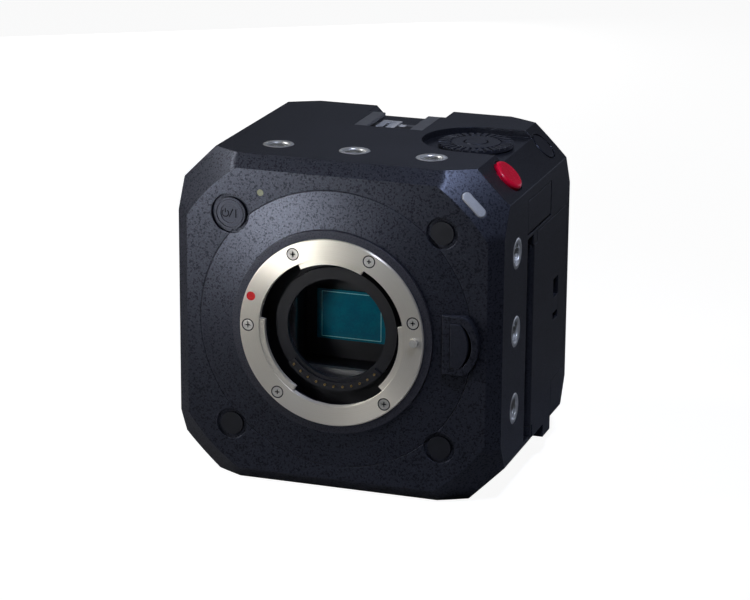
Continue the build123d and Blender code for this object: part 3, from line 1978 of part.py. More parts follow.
# Battery bay
def make_battery_latch():
    """Sliding catch: a knob in the back, a stem through it and a tongue into the bay."""
    half_long = latch_size[0] / 2
    half_tall = latch_size[1] / 2
    with BuildPart() as latch:
        add(
            block(
                (latch_x - half_long, latch_pocket_floor + door_gap, latch_height - half_tall),
                (latch_x + half_long, rear_face + latch_proud, latch_height + half_tall),
            )
        )
        add(
            block(
                (latch_x - half_long / 2, latch_back, latch_height - half_tall),
                (latch_x + half_long / 2, rear_face, latch_height + half_tall),
            )
        )
        add(
            block(
                (latch_tongue[0], latch_back, latch_height - half_tall),
                (latch_tongue[1], latch_front, latch_tongue_top),
            )
        )
    return latch.part


def make_battery_terminals():
    """Raised strip on the bay's floor with five blades."""
    middle = (battery_bay[0] + battery_bay[1]) / 2
    wide, tall, thick = terminal_strip
    blade_wide, blade_tall, blade_proud = terminal_blade
    strip_back = battery_bay_floor + thick
    strip_top = bay_half_height - terminal_top_gap
    strip_middle = strip_top - tall / 2
    with BuildPart() as terminals:
        add(
            block(
                (middle - wide / 2, battery_bay_floor, strip_top - tall),
                (middle + wide / 2, strip_back, strip_top),
            )
        )
        for index in range(terminal_count):
            across = middle + (index - (terminal_count - 1) / 2) * terminal_pitch
            add(
                block(
                    (across - blade_wide / 2, strip_back, strip_middle - blade_tall / 2),
                    (across + blade_wide / 2, strip_back + blade_proud, strip_middle + blade_tall / 2),
                )
            )
    return terminals.part


rear_screws = [
    cross_screw(
        rear_face - part_gap,
        rear_face - rear_screw_head_height,
        rear_lip_depth - rear_screw_length + rear_screw_spare,
        at,
        rear_screw_head,
        rear_screw_shank,
    )
    for at in rear_screw_points
]
save(make_battery_latch(), "battery_latch")
save(make_battery_terminals(), "battery_terminals")
save(group(rear_screws), "rear_cover_screws")
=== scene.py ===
import math

import bmesh
import bpy
from mathutils import Matrix, Vector


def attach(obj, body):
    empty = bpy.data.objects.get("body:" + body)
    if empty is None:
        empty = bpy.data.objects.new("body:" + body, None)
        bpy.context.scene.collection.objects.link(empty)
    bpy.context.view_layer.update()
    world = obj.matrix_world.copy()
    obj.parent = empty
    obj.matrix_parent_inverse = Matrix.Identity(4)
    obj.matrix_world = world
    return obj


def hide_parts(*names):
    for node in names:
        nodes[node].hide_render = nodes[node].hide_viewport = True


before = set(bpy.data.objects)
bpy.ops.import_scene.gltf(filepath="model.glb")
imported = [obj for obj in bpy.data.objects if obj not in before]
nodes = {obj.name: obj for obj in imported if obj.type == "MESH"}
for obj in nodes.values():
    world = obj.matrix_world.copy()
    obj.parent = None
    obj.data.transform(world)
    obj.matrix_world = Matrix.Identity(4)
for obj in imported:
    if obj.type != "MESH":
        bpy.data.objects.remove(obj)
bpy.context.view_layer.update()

# Studio camera: a long lens to the right of and above the object, where the photograph was taken.
# It looks slightly down, and its frame is level with the object's upright edges.
view = bpy.data.cameras.new("studio camera")
view.lens = 139.8
view.sensor_width = 36.0
view.clip_start = 0.01
camera = bpy.data.objects.new("studio camera", view)
bpy.context.scene.collection.objects.link(camera)
camera_right = Vector((0.94704, 0.32102, 0.00718)).normalized()
camera_forward = Vector((-0.30522, 0.90693, -0.29037)).normalized()
camera_up = camera_right.cross(camera_forward)
camera_place = Vector((0.2504, -0.7451, 0.2836))
camera_axes = (camera_right, camera_up, -camera_forward, camera_place)
camera.matrix_world = Matrix([[axis[row] for axis in camera_axes] for row in range(3)] + [[0, 0, 0, 1]])
bpy.context.scene.camera = camera
bpy.context.scene.view_settings.view_transform = "Standard"

# Lamps: small soft boxes. Five on the left and in front light the upper left corner, one hangs
# above on the right, and three stand behind, one of them low enough to light the back alone.
body_middle = (0, 0, 0.0465)
upper_left = (-0.04, -0.035, 0.09)
upper_right = (0.04, -0.02, 0.08)
white_light = (1, 1, 1)
blue_light = (0.8, 0.9, 1.2)


def soft_lamp(name, towards, distance, size, power, tint=white_light, aim=body_middle, spread=180):
    """Lamp at a direction and distance from a point of the body, which it looks at."""
    light = bpy.data.lights.new(name, "AREA")
    light.shape = "RECTANGLE"
    light.size, light.size_y = size
    light.energy = power
    light.color = tint
    light.spread = math.radians(spread)
    lamp = bpy.data.objects.new(name, light)
    bpy.context.scene.collection.objects.link(lamp)
    direction = Vector(towards).normalized()
    lamp.location = Vector(aim) + direction * distance
    lamp.rotation_euler = direction.to_track_quat("Z", "Y").to_euler()


for row in (
    ("lamp in front", (-0.34, -0.93, -0.02), 0.3, (0.06, 0.06), 0.0065, white_light, upper_left, 25),
    ("lamp front left", (-0.5, -0.86, 0.0), 0.3, (0.06, 0.06), 0.0065, white_light, upper_left, 25),
    ("small lamp in front", (-0.34, -0.93, -0.02), 0.13, (0.04, 0.04), 0.02, white_light, upper_left),
    ("lamp left", (-0.83, -0.5, 0.22), 0.4, (0.06, 0.06), 0.045, white_light, upper_left, 50),
    ("lamp above left", (-0.75, -0.1, 0.65), 0.35, (0.05, 0.05), 0.32, white_light, upper_left),
    ("lamp above right", (0.3, -0.38, 0.87), 0.4, (0.04, 0.04), 0.035, blue_light, upper_right, 40),
    ("lamp behind", (-0.2, 0.9, 0.4), 0.8, (0.3, 0.2), 0.035, blue_light),
    ("lamp behind low", (-0.5, 0.85, -0.02), 0.6, (0.3, 0.06), 0.6),
    ("lamp behind right", (0.5, 0.8, 0.05), 0.6, (0.3, 0.2), 0.13, (0.85, 0.92, 1.15)),
):
    soft_lamp(*row)

# Backdrop: white where the camera or the sensor's glass sees it, and faint as a light, so that it
# puts no haze on the black paint.
world = bpy.data.worlds.new("studio world")
bpy.context.scene.world = world
world.use_nodes = True
background = world.node_tree.nodes["Background"]
background.inputs["Color"].default_value = (0.95, 0.97, 1.0, 1)
ray = world.node_tree.nodes.new("ShaderNodeLightPath")
seen = world.node_tree.nodes.new("ShaderNodeMath")
seen.operation = "MAXIMUM"
world.node_tree.links.new(ray.outputs["Is Camera Ray"], seen.inputs[0])
world.node_tree.links.new(ray.outputs["Is Transmission Ray"], seen.inputs[1])
strength = world.node_tree.nodes.new("ShaderNodeMapRange")
strength.inputs["To Min"].default_value = 0.05
strength.inputs["To Max"].default_value = 1.0
world.node_tree.links.new(seen.outputs[0], strength.inputs["Value"])
world.node_tree.links.new(strength.outputs["Result"], background.inputs["Strength"])

# Floor: a pale sheet that the camera sees nearly white, with the object's shadow on it. To the
# object it is a plain grey sheet, which throws little light up.
floor_mesh = bpy.data.meshes.new("floor")
floor_mesh.from_pydata([(-8, -8, 0), (8, -8, 0), (8, 8, 0), (-8, 8, 0)], [], [(0, 1, 2, 3)])
floor = bpy.data.objects.new("floor", floor_mesh)
floor.location.z = -0.0001
bpy.context.scene.collection.objects.link(floor)
floor_paint = bpy.data.materials.new("pale floor")
floor_paint.use_nodes = True
floor_tree = floor_paint.node_tree
floor_shader = floor_tree.nodes["Principled BSDF"]
floor_shader.inputs["Base Color"].default_value = (0.3, 0.3, 0.3, 1)
floor_shader.inputs["Roughness"].default_value = 0.9
floor_shader.inputs["Specular IOR Level"].default_value = 0.1
floor_ray = floor_tree.nodes.new("ShaderNodeLightPath")
floor_glow = floor_tree.nodes.new("ShaderNodeEmission")
floor_glow.inputs["Strength"].default_value = 0.93
floor_sum = floor_tree.nodes.new("ShaderNodeAddShader")
floor_mix = floor_tree.nodes.new("ShaderNodeMixShader")
floor_out = floor_tree.nodes["Material Output"]
floor_tree.links.new(floor_shader.outputs[0], floor_sum.inputs[0])
floor_tree.links.new(floor_glow.outputs[0], floor_sum.inputs[1])
floor_tree.links.new(floor_ray.outputs["Is Camera Ray"], floor_mix.inputs[0])
floor_bounce = floor_tree.nodes.new("ShaderNodeBsdfDiffuse")
floor_bounce.inputs["Color"].default_value = (0.3, 0.3, 0.31, 1)
floor_tree.links.new(floor_bounce.outputs[0], floor_mix.inputs[1])
floor_tree.links.new(floor_sum.outputs[0], floor_mix.inputs[2])
floor_tree.links.new(floor_mix.outputs[0], floor_out.inputs["Surface"])
floor_mesh.materials.append(floor_paint)

# Shells: three castings painted dark blue-black. The front cover has a crinkled paint, the casing
# and the rear cover a finer one, each with fine pits painted black as painted shade and raised
# specks painted pale as painted highlights. The covers close the casing's two ends and are screwed on.


def effect(name, takes, gives):
    """Empty shader group with its sockets; it is returned with its two end nodes."""
    tree = bpy.data.node_groups.new(name, "ShaderNodeTree")
    for label, kind, value in takes:
        socket = tree.interface.new_socket(label, in_out="INPUT", socket_type=kind)
        socket.default_value = value
    for label, kind in gives:
        tree.interface.new_socket(label, in_out="OUTPUT", socket_type=kind)
    return tree, tree.nodes.new("NodeGroupInput"), tree.nodes.new("NodeGroupOutput")


def add_math(tree, operation, first, second=None, third=None):
    """Math node fed by sockets or numbers; its result socket is returned."""
    node = tree.nodes.new("ShaderNodeMath")
    node.operation = operation
    for index, value in enumerate((first, second, third)):
        if value is None:
            continue
        if isinstance(value, (int, float)):
            node.inputs[index].default_value = value
        else:
            tree.links.new(value, node.inputs[index])
    return node.outputs[0]


def add_range(tree, value, low, high, to_low=0.0, to_high=1.0):
    """Smooth step of a value from one range to another."""
    node = tree.nodes.new("ShaderNodeMapRange")
    node.interpolation_type = "SMOOTHSTEP"
    node.inputs["From Min"].default_value = low
    node.inputs["From Max"].default_value = high
    node.inputs["To Min"].default_value = to_low
    node.inputs["To Max"].default_value = to_high
    tree.links.new(value, node.inputs["Value"])
    return node.outputs["Result"]


def add_mix(tree, share, first, second):
    """Colour mix fed by sockets or colours; its result socket is returned."""
    node = tree.nodes.new("ShaderNodeMix")
    node.data_type = "RGBA"
    for name, value in (("Factor_Float", share), ("A_Color", first), ("B_Color", second)):
        socket = next(item for item in node.inputs if item.identifier == name)
        if isinstance(value, (int, float, tuple)):
            socket.default_value = value
        else:
            tree.links.new(value, socket)
    return next(item for item in node.outputs if item.identifier == "Result_Color")


def millimetres(tree):
    """Place on the piece in millimetres."""
    place = tree.nodes.new("ShaderNodeTexCoord")
    scaled = tree.nodes.new("ShaderNodeVectorMath")
    scaled.operation = "SCALE"
    scaled.inputs["Scale"].default_value = 1000.0
    tree.links.new(place.outputs["Object"], scaled.inputs[0])
    return scaled.outputs["Vector"]


def add_noise(tree, place, scale, detail=2.0, rough=0.5):
    """Noise over a place, its scale in turns a millimetre; its value socket is returned."""
    node = tree.nodes.new("ShaderNodeTexNoise")
    node.inputs["Detail"].default_value = detail
    node.inputs["Roughness"].default_value = rough
    if isinstance(scale, (int, float)):
        node.inputs["Scale"].default_value = scale
    else:
        tree.links.new(scale, node.inputs["Scale"])
    tree.links.new(place, node.inputs["Vector"])
    return node.outputs[0]


crinkle, crinkle_in, crinkle_out = effect(
    "crinkle paint",
    (
        ("Light", "NodeSocketColor", (0.02, 0.02, 0.03, 1)),
        ("Dark", "NodeSocketColor", (0.002, 0.002, 0.003, 1)),
        ("Pits", "NodeSocketFloat", 0.5),
        ("Scale", "NodeSocketFloat", 1.6),
    ),
    (
        ("Color", "NodeSocketColor"),
        ("Roughness", "NodeSocketFloat"),
        ("Height", "NodeSocketFloat"),
        ("Shine", "NodeSocketFloat"),
    ),
)
crinkle_place = millimetres(crinkle)
crinkle_noise = add_noise(crinkle, crinkle_place, crinkle_in.outputs["Scale"], 3.0, 0.6)
crinkle_fine = add_noise(
    crinkle, crinkle_place, add_math(crinkle, "MULTIPLY", crinkle_in.outputs["Scale"], 2.7), 2.0
)
crinkle_wide = add_noise(crinkle, crinkle_place, 0.08, 2.0)
# Colour of the crinkle: the pits are painted dark as painted shade, and fine raised specks are painted
# pale as painted highlights.
pit_shade_mask = add_range(crinkle, crinkle_noise, 0.52, 0.60)
pit_shade_share = add_math(crinkle, "MULTIPLY", pit_shade_mask, crinkle_in.outputs["Pits"])
speck_highlight_share = add_math(
    crinkle, "MULTIPLY", add_range(crinkle, crinkle_fine, 0.60, 0.70), crinkle_in.outputs["Pits"]
)
# Painted highlight (0.085, 0.09, 0.11) on the specks, then painted shade in the pits; a wide noise then
# varies the tone at random.
tone = add_mix(crinkle, speck_highlight_share, crinkle_in.outputs["Light"], (0.085, 0.09, 0.11, 1))
tone = add_mix(crinkle, pit_shade_share, tone, crinkle_in.outputs["Dark"])
lift = add_range(crinkle, crinkle_wide, 0.3, 0.7, 0.0, 0.2)
tone = add_mix(crinkle, lift, tone, (0.03, 0.031, 0.04, 1))
crinkle.links.new(tone, crinkle_out.inputs["Color"])
crinkle.links.new(
    add_range(crinkle, crinkle_fine, 0.3, 0.7, 0.34, 0.44), crinkle_out.inputs["Roughness"]
)
shine = add_math(crinkle, "MULTIPLY_ADD", pit_shade_share, -0.62, 0.62)
shine = add_math(crinkle, "MULTIPLY_ADD", speck_highlight_share, 0.38, shine)
crinkle.links.new(shine, crinkle_out.inputs["Shine"])
crinkle_height = add_math(crinkle, "MULTIPLY_ADD", crinkle_fine, 0.5, crinkle_noise)
crinkle.links.new(crinkle_height, crinkle_out.inputs["Height"])

# Edge mask: where the bevelled normal turns away from the face's normal. The paints colour it pale as a
# painted highlight of the rounded edges.
edge_glint, edge_glint_in, edge_glint_out = effect(
    "painted edge highlight",
    (("Radius", "NodeSocketFloat", 0.0004), ("Amount", "NodeSocketFloat", 0.5)),
    (("Mask", "NodeSocketFloat"),),
)
edge_glint_bevel = edge_glint.nodes.new("ShaderNodeBevel")
edge_glint_bevel.samples = 4
edge_glint.links.new(edge_glint_in.outputs["Radius"], edge_glint_bevel.inputs["Radius"])
edge_glint_facing = edge_glint.nodes.new("ShaderNodeNewGeometry")
edge_glint_dot = edge_glint.nodes.new("ShaderNodeVectorMath")
edge_glint_dot.operation = "DOT_PRODUCT"
edge_glint.links.new(edge_glint_bevel.outputs["Normal"], edge_glint_dot.inputs[0])
edge_glint.links.new(edge_glint_facing.outputs["Normal"], edge_glint_dot.inputs[1])
edge_glint_turn = add_range(edge_glint, add_math(edge_glint, "SUBTRACT", 1.0, edge_glint_dot.outputs["Value"]), 0.01, 0.16)
edge_glint_patch = add_range(edge_glint, add_noise(edge_glint, millimetres(edge_glint), 0.5, 3.0), 0.35, 0.65, 0.4, 1.0)
edge_glint_share = add_math(edge_glint, "MULTIPLY", edge_glint_turn, edge_glint_patch)
edge_glint_mask = add_math(edge_glint, "MULTIPLY", edge_glint_share, edge_glint_in.outputs["Amount"])
edge_glint.links.new(edge_glint_mask, edge_glint_out.inputs["Mask"])

grain, grain_in, grain_out = effect(
    "fine grain",
    (
        ("Scale", "NodeSocketFloat", 6.0),
        ("Low", "NodeSocketFloat", 0.4),
        ("High", "NodeSocketFloat", 0.6),
    ),
    (
        ("Mask", "NodeSocketFloat"),
        ("Roughness", "NodeSocketFloat"),
        ("Height", "NodeSocketFloat"),
    ),
)
grain_place = millimetres(grain)
grain_fine = add_noise(grain, grain_place, grain_in.outputs["Scale"], 3.0, 0.6)
grain_wide = add_noise(grain, grain_place, 0.25, 2.0)
grain_half = add_math(grain, "MULTIPLY", grain_fine, 0.5)
grain_blend = add_math(grain, "MULTIPLY_ADD", grain_wide, 0.5, grain_half)
grain_span = grain.nodes.new("ShaderNodeMapRange")
grain_span.inputs["From Min"].default_value = 0.3
grain_span.inputs["From Max"].default_value = 0.7
grain.links.new(grain_blend, grain_span.inputs["Value"])
grain.links.new(grain_in.outputs["Low"], grain_span.inputs["To Min"])
grain.links.new(grain_in.outputs["High"], grain_span.inputs["To Max"])
grain.links.new(add_range(grain, grain_blend, 0.35, 0.65), grain_out.inputs["Mask"])
grain.links.new(grain_span.outputs["Result"], grain_out.inputs["Roughness"])
grain.links.new(grain_fine, grain_out.inputs["Height"])


def place_effect(tree, group, **values):
    """Group node with its own values."""
    node = tree.nodes.new("ShaderNodeGroup")
    node.node_tree = group
    for name, value in values.items():
        node.inputs[name].default_value = value
    return node


def new_finish(name, **values):
    """Material with a shader, its constants set on the shader's own sockets."""
    finish = bpy.data.materials.new(name)
    finish.use_nodes = True
    shader = finish.node_tree.nodes["Principled BSDF"]
    for label, value in values.items():
        shader.inputs[label.replace("_", " ")].default_value = value
    return finish, finish.node_tree, shader


def raise_surface(tree, shader, height, depth):
    """Small relief on a surface, its depth in metres."""
    bump = tree.nodes.new("ShaderNodeBump")
    bump.inputs["Strength"].default_value = 1.0
    bump.inputs["Distance"].default_value = depth
    tree.links.new(height, bump.inputs["Height"])
    tree.links.new(bump.outputs["Normal"], shader.inputs["Normal"])
    return bump


def painted(name, light, dark, edge_highlight, pits, scale, relief, edge_radius=0.0003):
    """Dark paint with pits, a fine relief and softly rounded edges; the edges are painted paler as a
    painted highlight, the pits hold painted shade.
    """
    finish, tree, shader = new_finish(name, Specular_Tint=(0.74, 0.8, 1.0, 1))
    paint = place_effect(tree, crinkle, Light=light, Dark=dark, Pits=pits, Scale=scale)
    # Paler colour along the edges: a painted highlight.
    edge = place_effect(tree, edge_glint, Radius=0.0004, Amount=0.5)
    colour = add_mix(tree, edge.outputs["Mask"], paint.outputs["Color"], edge_highlight)
    tree.links.new(colour, shader.inputs["Base Color"])
    tree.links.new(paint.outputs["Roughness"], shader.inputs["Roughness"])
    tree.links.new(paint.outputs["Shine"], shader.inputs["Specular IOR Level"])
    soft = tree.nodes.new("ShaderNodeBevel")
    soft.samples = 6
    soft.inputs["Radius"].default_value = edge_radius
    bump = raise_surface(tree, shader, paint.outputs["Height"], relief)
    tree.links.new(soft.outputs["Normal"], bump.inputs["Normal"])
    return finish


def grained(name, light, dark, low, high, relief, scale=6.0, **values):
    """Plain finish with a fine grain in its colour, gloss and relief."""
    finish, tree, shader = new_finish(name, **values)
    fine = place_effect(tree, grain, Scale=scale, Low=low, High=high)
    tree.links.new(add_mix(tree, fine.outputs["Mask"], dark, light), shader.inputs["Base Color"])
    tree.links.new(fine.outputs["Roughness"], shader.inputs["Roughness"])
    raise_surface(tree, shader, fine.outputs["Height"], relief)
    return finish


def wear_finish(piece, finish):
    """Puts one finish on a piece."""
    piece.data.materials.clear()
    piece.data.materials.append(finish)


flange_forward = 38.5
axis_height = 46.5


def spot(across, depth, up):
    """Point from millimetres: sideways, behind the lens flange, above the lens axis."""
    return Vector((across, depth - flange_forward, up + axis_height)) / 1000


def facet_turn(edge):
    """Angle between an edge's two faces, in degrees."""
    return math.degrees(edge.calc_face_angle(0.0)) if len(edge.link_faces) == 2 else 0.0


def stand_in(name, body, mesh, finish):
    """Finer piece in the place of a solid."""
    shell = bpy.data.objects.new(name + "_shell", mesh)
    bpy.context.scene.collection.objects.link(shell)
    wear_finish(shell, finish)
    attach(shell, body)
    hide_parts(name)
    return shell


def open_solid(name):
    """New mesh for a finer piece, and a working copy of its solid with closed seams."""
    mesh = bpy.data.meshes.new(name + "_shell")
    work = bmesh.new()
    work.from_mesh(nodes[name].data)
    bmesh.ops.remove_doubles(work, verts=work.verts, dist=2e-6)
    return mesh, work


def shade_evenly(shell):
    """Even shading over broad faces, with the sharp edges kept."""
    even = shell.modifiers.new("even shading", "WEIGHTED_NORMAL")
    even.keep_sharp = True


crisp_turn = 24.0


def cast_shell(name, finish, body="camera_body"):
    """Casting with even shading over its turned faces and crisp lines between faces."""
    mesh, work = open_solid(name)
    work.normal_update()
    for face in work.faces:
        face.smooth = True
    for edge in work.edges:
        edge.smooth = facet_turn(edge) < crisp_turn
    work.to_mesh(mesh)
    work.free()
    shade_evenly(stand_in(name, body, mesh, finish))


def rounded(name, body, finish, width):
    """Copy of a solid with its edges rounded by a width in millimetres, as polishing leaves them."""
    mesh, work = open_solid(name)
    bmesh.ops.dissolve_limit(
        work, angle_limit=math.radians(0.4), verts=work.verts, edges=work.edges
    )
    work.normal_update()
    weight = work.edges.layers.float.new("bevel_weight_edge")
    for edge in work.edges:
        if facet_turn(edge) > crisp_turn:
            edge[weight] = 1.0
    for face in work.faces:
        face.smooth = True
    work.to_mesh(mesh)
    work.free()
    shell = stand_in(name, body, mesh, finish)
    bevel = shell.modifiers.new("rounded edges", "BEVEL")
    bevel.limit_method = "WEIGHT"
    bevel.width = width / 1000
    bevel.segments = 3
    bevel.use_clamp_overlap = False
    bevel.miter_outer = "MITER_ARC"
    shade_evenly(shell)


# Each paint's paler edge colour is a painted highlight, and its pits and specks hold painted shade and
# painted highlights.
crinkle_finish = painted(
    "crinkle_paint",
    light=(0.018, 0.019, 0.026, 1),
    dark=(0.001, 0.001, 0.002, 1),
    edge_highlight=(0.06, 0.063, 0.078, 1),
    pits=0.6,
    scale=1.8,
    relief=0.000016,
)
matte_finish = painted(
    "matte_paint",
    light=(0.014, 0.015, 0.02, 1),
    dark=(0.008, 0.008, 0.011, 1),
    edge_highlight=(0.05, 0.052, 0.062, 1),
    pits=0.5,
    scale=3.0,
    relief=0.00002,
)

cast_shell("front_cover", crinkle_finish)
cast_shell("rear_cover", matte_finish)
cast_shell("main_casing", matte_finish)

# Bezel and collar: a shallow painted cone on the front cover, and inside it a black cast collar
# that carries the bayonet ring.
cast_shell("mount_bezel", crinkle_finish)
# Its paler edge colour is a painted highlight, and its pits are painted shade.
collar_finish = painted(
    "collar_black",
    light=(0.03, 0.029, 0.036, 1),
    dark=(0.012, 0.012, 0.016, 1),
    edge_highlight=(0.06, 0.06, 0.07, 1),
    pits=0.5,
    scale=2.4,
    relief=0.00002,
)
cast_shell("mount_base", collar_finish)

# Bayonet ring: turned from bright plated brass, with three tabs, its broad face finished with
# fine rings round the lens axis. Six screws hold it to the collar.
turned, turned_in, turned_out = effect(
    "turned rings",
    (("Centre", "NodeSocketVector", (0, 0, 46.5)), ("Scale", "NodeSocketFloat", 14.0)),
    (("Mask", "NodeSocketFloat"), ("Height", "NodeSocketFloat")),
)
turned_offset = turned.nodes.new("ShaderNodeVectorMath")
turned_offset.operation = "SUBTRACT"
turned.links.new(millimetres(turned), turned_offset.inputs[0])
turned.links.new(turned_in.outputs["Centre"], turned_offset.inputs[1])
turned_flat = turned.nodes.new("ShaderNodeVectorMath")
turned_flat.operation = "MULTIPLY"
turned_flat.inputs[1].default_value = (1, 0, 1)
turned.links.new(turned_offset.outputs["Vector"], turned_flat.inputs[0])
turned_radius = turned.nodes.new("ShaderNodeVectorMath")
turned_radius.operation = "LENGTH"
turned.links.new(turned_flat.outputs["Vector"], turned_radius.inputs[0])
turned_line = turned.nodes.new("ShaderNodeTexNoise")
turned_line.noise_dimensions = "1D"
turned_line.inputs["Detail"].default_value = 3.0
turned.links.new(turned_radius.outputs["Value"], turned_line.inputs["W"])
turned.links.new(turned_in.outputs["Scale"], turned_line.inputs["Scale"])
turned.links.new(add_range(turned, turned_line.outputs[0], 0.35, 0.65), turned_out.inputs["Mask"])
turned.links.new(turned_line.outputs[0], turned_out.inputs["Height"])

ring_finish, ring_tree, ring_shader = new_finish(
    "mount_metal", Metallic=0.6, Anisotropic=0.8, Anisotropic_Rotation=0.25
)
ring_lines = place_effect(ring_tree, turned, Scale=9.0)
ring_tone = add_mix(ring_tree, ring_lines.outputs["Mask"], (0.86, 0.8, 0.68, 1), (0.93, 0.88, 0.77, 1))
ring_tree.links.new(ring_tone, ring_shader.inputs["Base Color"])
ring_tree.links.new(
    add_range(ring_tree, ring_lines.outputs["Mask"], 0.0, 1.0, 0.36, 0.42),
    ring_shader.inputs["Roughness"],
)
ring_tangent = ring_tree.nodes.new("ShaderNodeTangent")
ring_tangent.direction_type = "RADIAL"
ring_tangent.axis = "Y"
ring_tree.links.new(ring_tangent.outputs[0], ring_shader.inputs["Tangent"])
raise_surface(ring_tree, ring_shader, ring_lines.outputs["Height"], 0.000004)
rounded("mount_ring", "camera_body", ring_finish, 0.08)

# Screws, springs and pins: plated steel. Six small screws hold the ring, leaf springs behind its
# tabs press on the lens, and the lock pin stands on the release lever.
steel_finish = grained(
    "screw_metal", (0.9, 0.88, 0.82, 1), (0.75, 0.73, 0.68, 1), 0.35, 0.45, 0.000004, Metallic=0.8
)
for name in (
    "mount_ring_screws",
    "lens_lock_pin",
    "card_door_pin",
    "release_lever",
    "mount_leaf_springs",
    "dial_clip",
    "front_cover_screws",
):
    wear_finish(nodes[name], steel_finish)


def add_ribbon(work, points, width, depth):
    """Flat ribbon along a path of points on the front face, all in millimetres."""
    sides = []
    for index, point in enumerate(points):
        ahead = points[min(index + 1, len(points) - 1)]
        behind = points[max(index - 1, 0)]
        along = Vector((ahead[0] - behind[0], ahead[1] - behind[1])).normalized() * width / 2
        first = work.verts.new(spot(point[0] - along.y, depth, point[1] + along.x))
        second = work.verts.new(spot(point[0] + along.y, depth, point[1] - along.x))
        sides.append((first, second))
    for near, far in zip(sides, sides[1:]):
        work.faces.new((near[0], near[1], far[1], far[0]))


def flat_marks(name, paths, width, depth, finish, body):
    """Thin marks along several paths, as one piece that moves with a body."""
    mesh = bpy.data.meshes.new(name)
    work = bmesh.new()
    for points in paths:
        add_ribbon(work, points, width, depth)
    work.to_mesh(mesh)
    work.free()
    marks = bpy.data.objects.new(name, mesh)
    bpy.context.scene.collection.objects.link(marks)
    wear_finish(marks, finish)
    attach(marks, body)


def round_path(centre, radius, start=0, end=360, step=10):
    """Points along part of a circle."""
    turns = [math.radians(angle) for angle in range(start, end + 1, step)]
    return [(centre[0] + radius * math.cos(turn), centre[1] + radius * math.sin(turn)) for turn in turns]


# Painted shade at the ring screws: a black ring painted round each screw's head, where the gap
# round it lies in shade, and a black cross painted over the cross cut in its head. They lie just on
# the ring's face and on the heads.
# Black finish for the painted shade at the screws, and for the printed standby sign further on.
shade_and_print_finish = grained(
    "painted_shade_and_print",
    (0.002, 0.002, 0.003, 1),
    (0.001, 0.001, 0.002, 1),
    0.6,
    0.7,
    0.000004,
    Specular_IOR_Level=0.04,
)
screw_angles = (117.1, 63.1, 12.95, -50.05, -130.1, 179.9)
screw_circle = 23.9
seat_radius = 1.62
cross_reach = 0.62
shade_strip_width = 0.3
on_the_ring = -0.008
seat_shade_rings = []
cross_shade_strips = []
for angle in screw_angles:
    turn = math.radians(angle)
    across, up = screw_circle * math.cos(turn), screw_circle * math.sin(turn)
    seat_shade_rings.append(round_path((across, up), seat_radius))
    cross_shade_strips.append([(across - cross_reach, up), (across + cross_reach, up)])
    cross_shade_strips.append([(across, up - cross_reach), (across, up + cross_reach)])
flat_marks("screw_seat_painted_shade", seat_shade_rings, shade_strip_width, on_the_ring, shade_and_print_finish, "camera_body")
flat_marks("screw_cross_painted_shade", cross_shade_strips, shade_strip_width, on_the_ring, shade_and_print_finish, "camera_body")

# Index mark: a drop of glossy red enamel in a small hole of the ring, where the mark of the lens
# is set against it.
dot_finish = grained(
    "index_red", (0.72, 0.012, 0.014, 1), (0.5, 0.008, 0.01, 1), 0.25, 0.35, 0.00001
)
wear_finish(nodes["mount_index_dot"], dot_finish)

# Throat: a flocked black baffle with a contact block in front of it, and the chamber and the
# sensor frame behind it. They are dull black, so that no light strays on to the sensor.
throat_finish = grained(
    "baffle_black", (0.009, 0.0095, 0.014, 1), (0.005, 0.005, 0.008, 1), 0.5, 0.65, 0.000008
)
for name in ("throat_baffle", "contact_block", "sensor_chamber", "sensor_frame"):
    wear_finish(nodes[name], throat_finish)

# Contacts: gold-plated pins in a row in the contact block, and the strips in the battery bay.
# They are sprung or pressed in, and bright from wear.
gold_finish = grained(
    "contact_gold", (0.9, 0.66, 0.3, 1), (0.7, 0.48, 0.2, 1), 0.2, 0.35, 0.00001, Metallic=1.0
)
for name in ("lens_contacts", "battery_terminals"):
    wear_finish(nodes[name], gold_finish)

# Cover glass and sensor: coated glass glued in the sensor frame, over the silicon of the sensor.
# Together they show teal.
glass_finish, glass_tree, glass_shader = new_finish(
    "sensor_glass", Transmission_Weight=0.35, Roughness=0.08, IOR=1.5, Metallic=0.0
)
glass_fine = place_effect(glass_tree, grain, Scale=2.0, Low=0.04, High=0.1)
glass_tree.links.new(
    add_mix(glass_tree, glass_fine.outputs["Mask"], (0.0, 0.2, 0.32, 1), (0.0, 0.26, 0.38, 1)),
    glass_shader.inputs["Base Color"],
)
wear_finish(nodes["sensor_cover_glass"], glass_finish)
sensor_finish = grained(
    "sensor_die", (0.02, 0.42, 0.6, 1), (0.01, 0.34, 0.5, 1), 0.15, 0.25, 0.000005
)
wear_finish(nodes["image_sensor"], sensor_finish)

# Border of the sensor: the thin pale line of the coating's edge, seen round the teal picture area
# on the face of the cover glass.
border_finish = grained(
    "sensor_border", (0.35, 0.9, 0.95, 1), (0.25, 0.7, 0.75, 1), 0.2, 0.3, 0.000004
)
half_wide, half_high = 8.6, 6.45
border = [
    (-half_wide, -half_high),
    (half_wide, -half_high),
    (half_wide, half_high),
    (-half_wide, half_high),
]
sides = [[border[index], border[(index + 1) % 4]] for index in range(4)]
on_the_glass = 17.25
flat_marks("sensor_border", sides, 0.22, on_the_glass, border_finish, "camera_body")

# Plugs and switch domes: soft black rubber. A round plug is pressed over each screw of the front
# cover, and a dome lies under each button.
plug_finish = grained(
    "plug_rubber", (0.012, 0.013, 0.019, 1), (0.007, 0.0075, 0.011, 1), 0.45, 0.55, 0.000006
)
for name in ("front_screw_plugs", "switch_domes"):
    wear_finish(nodes[name], plug_finish)

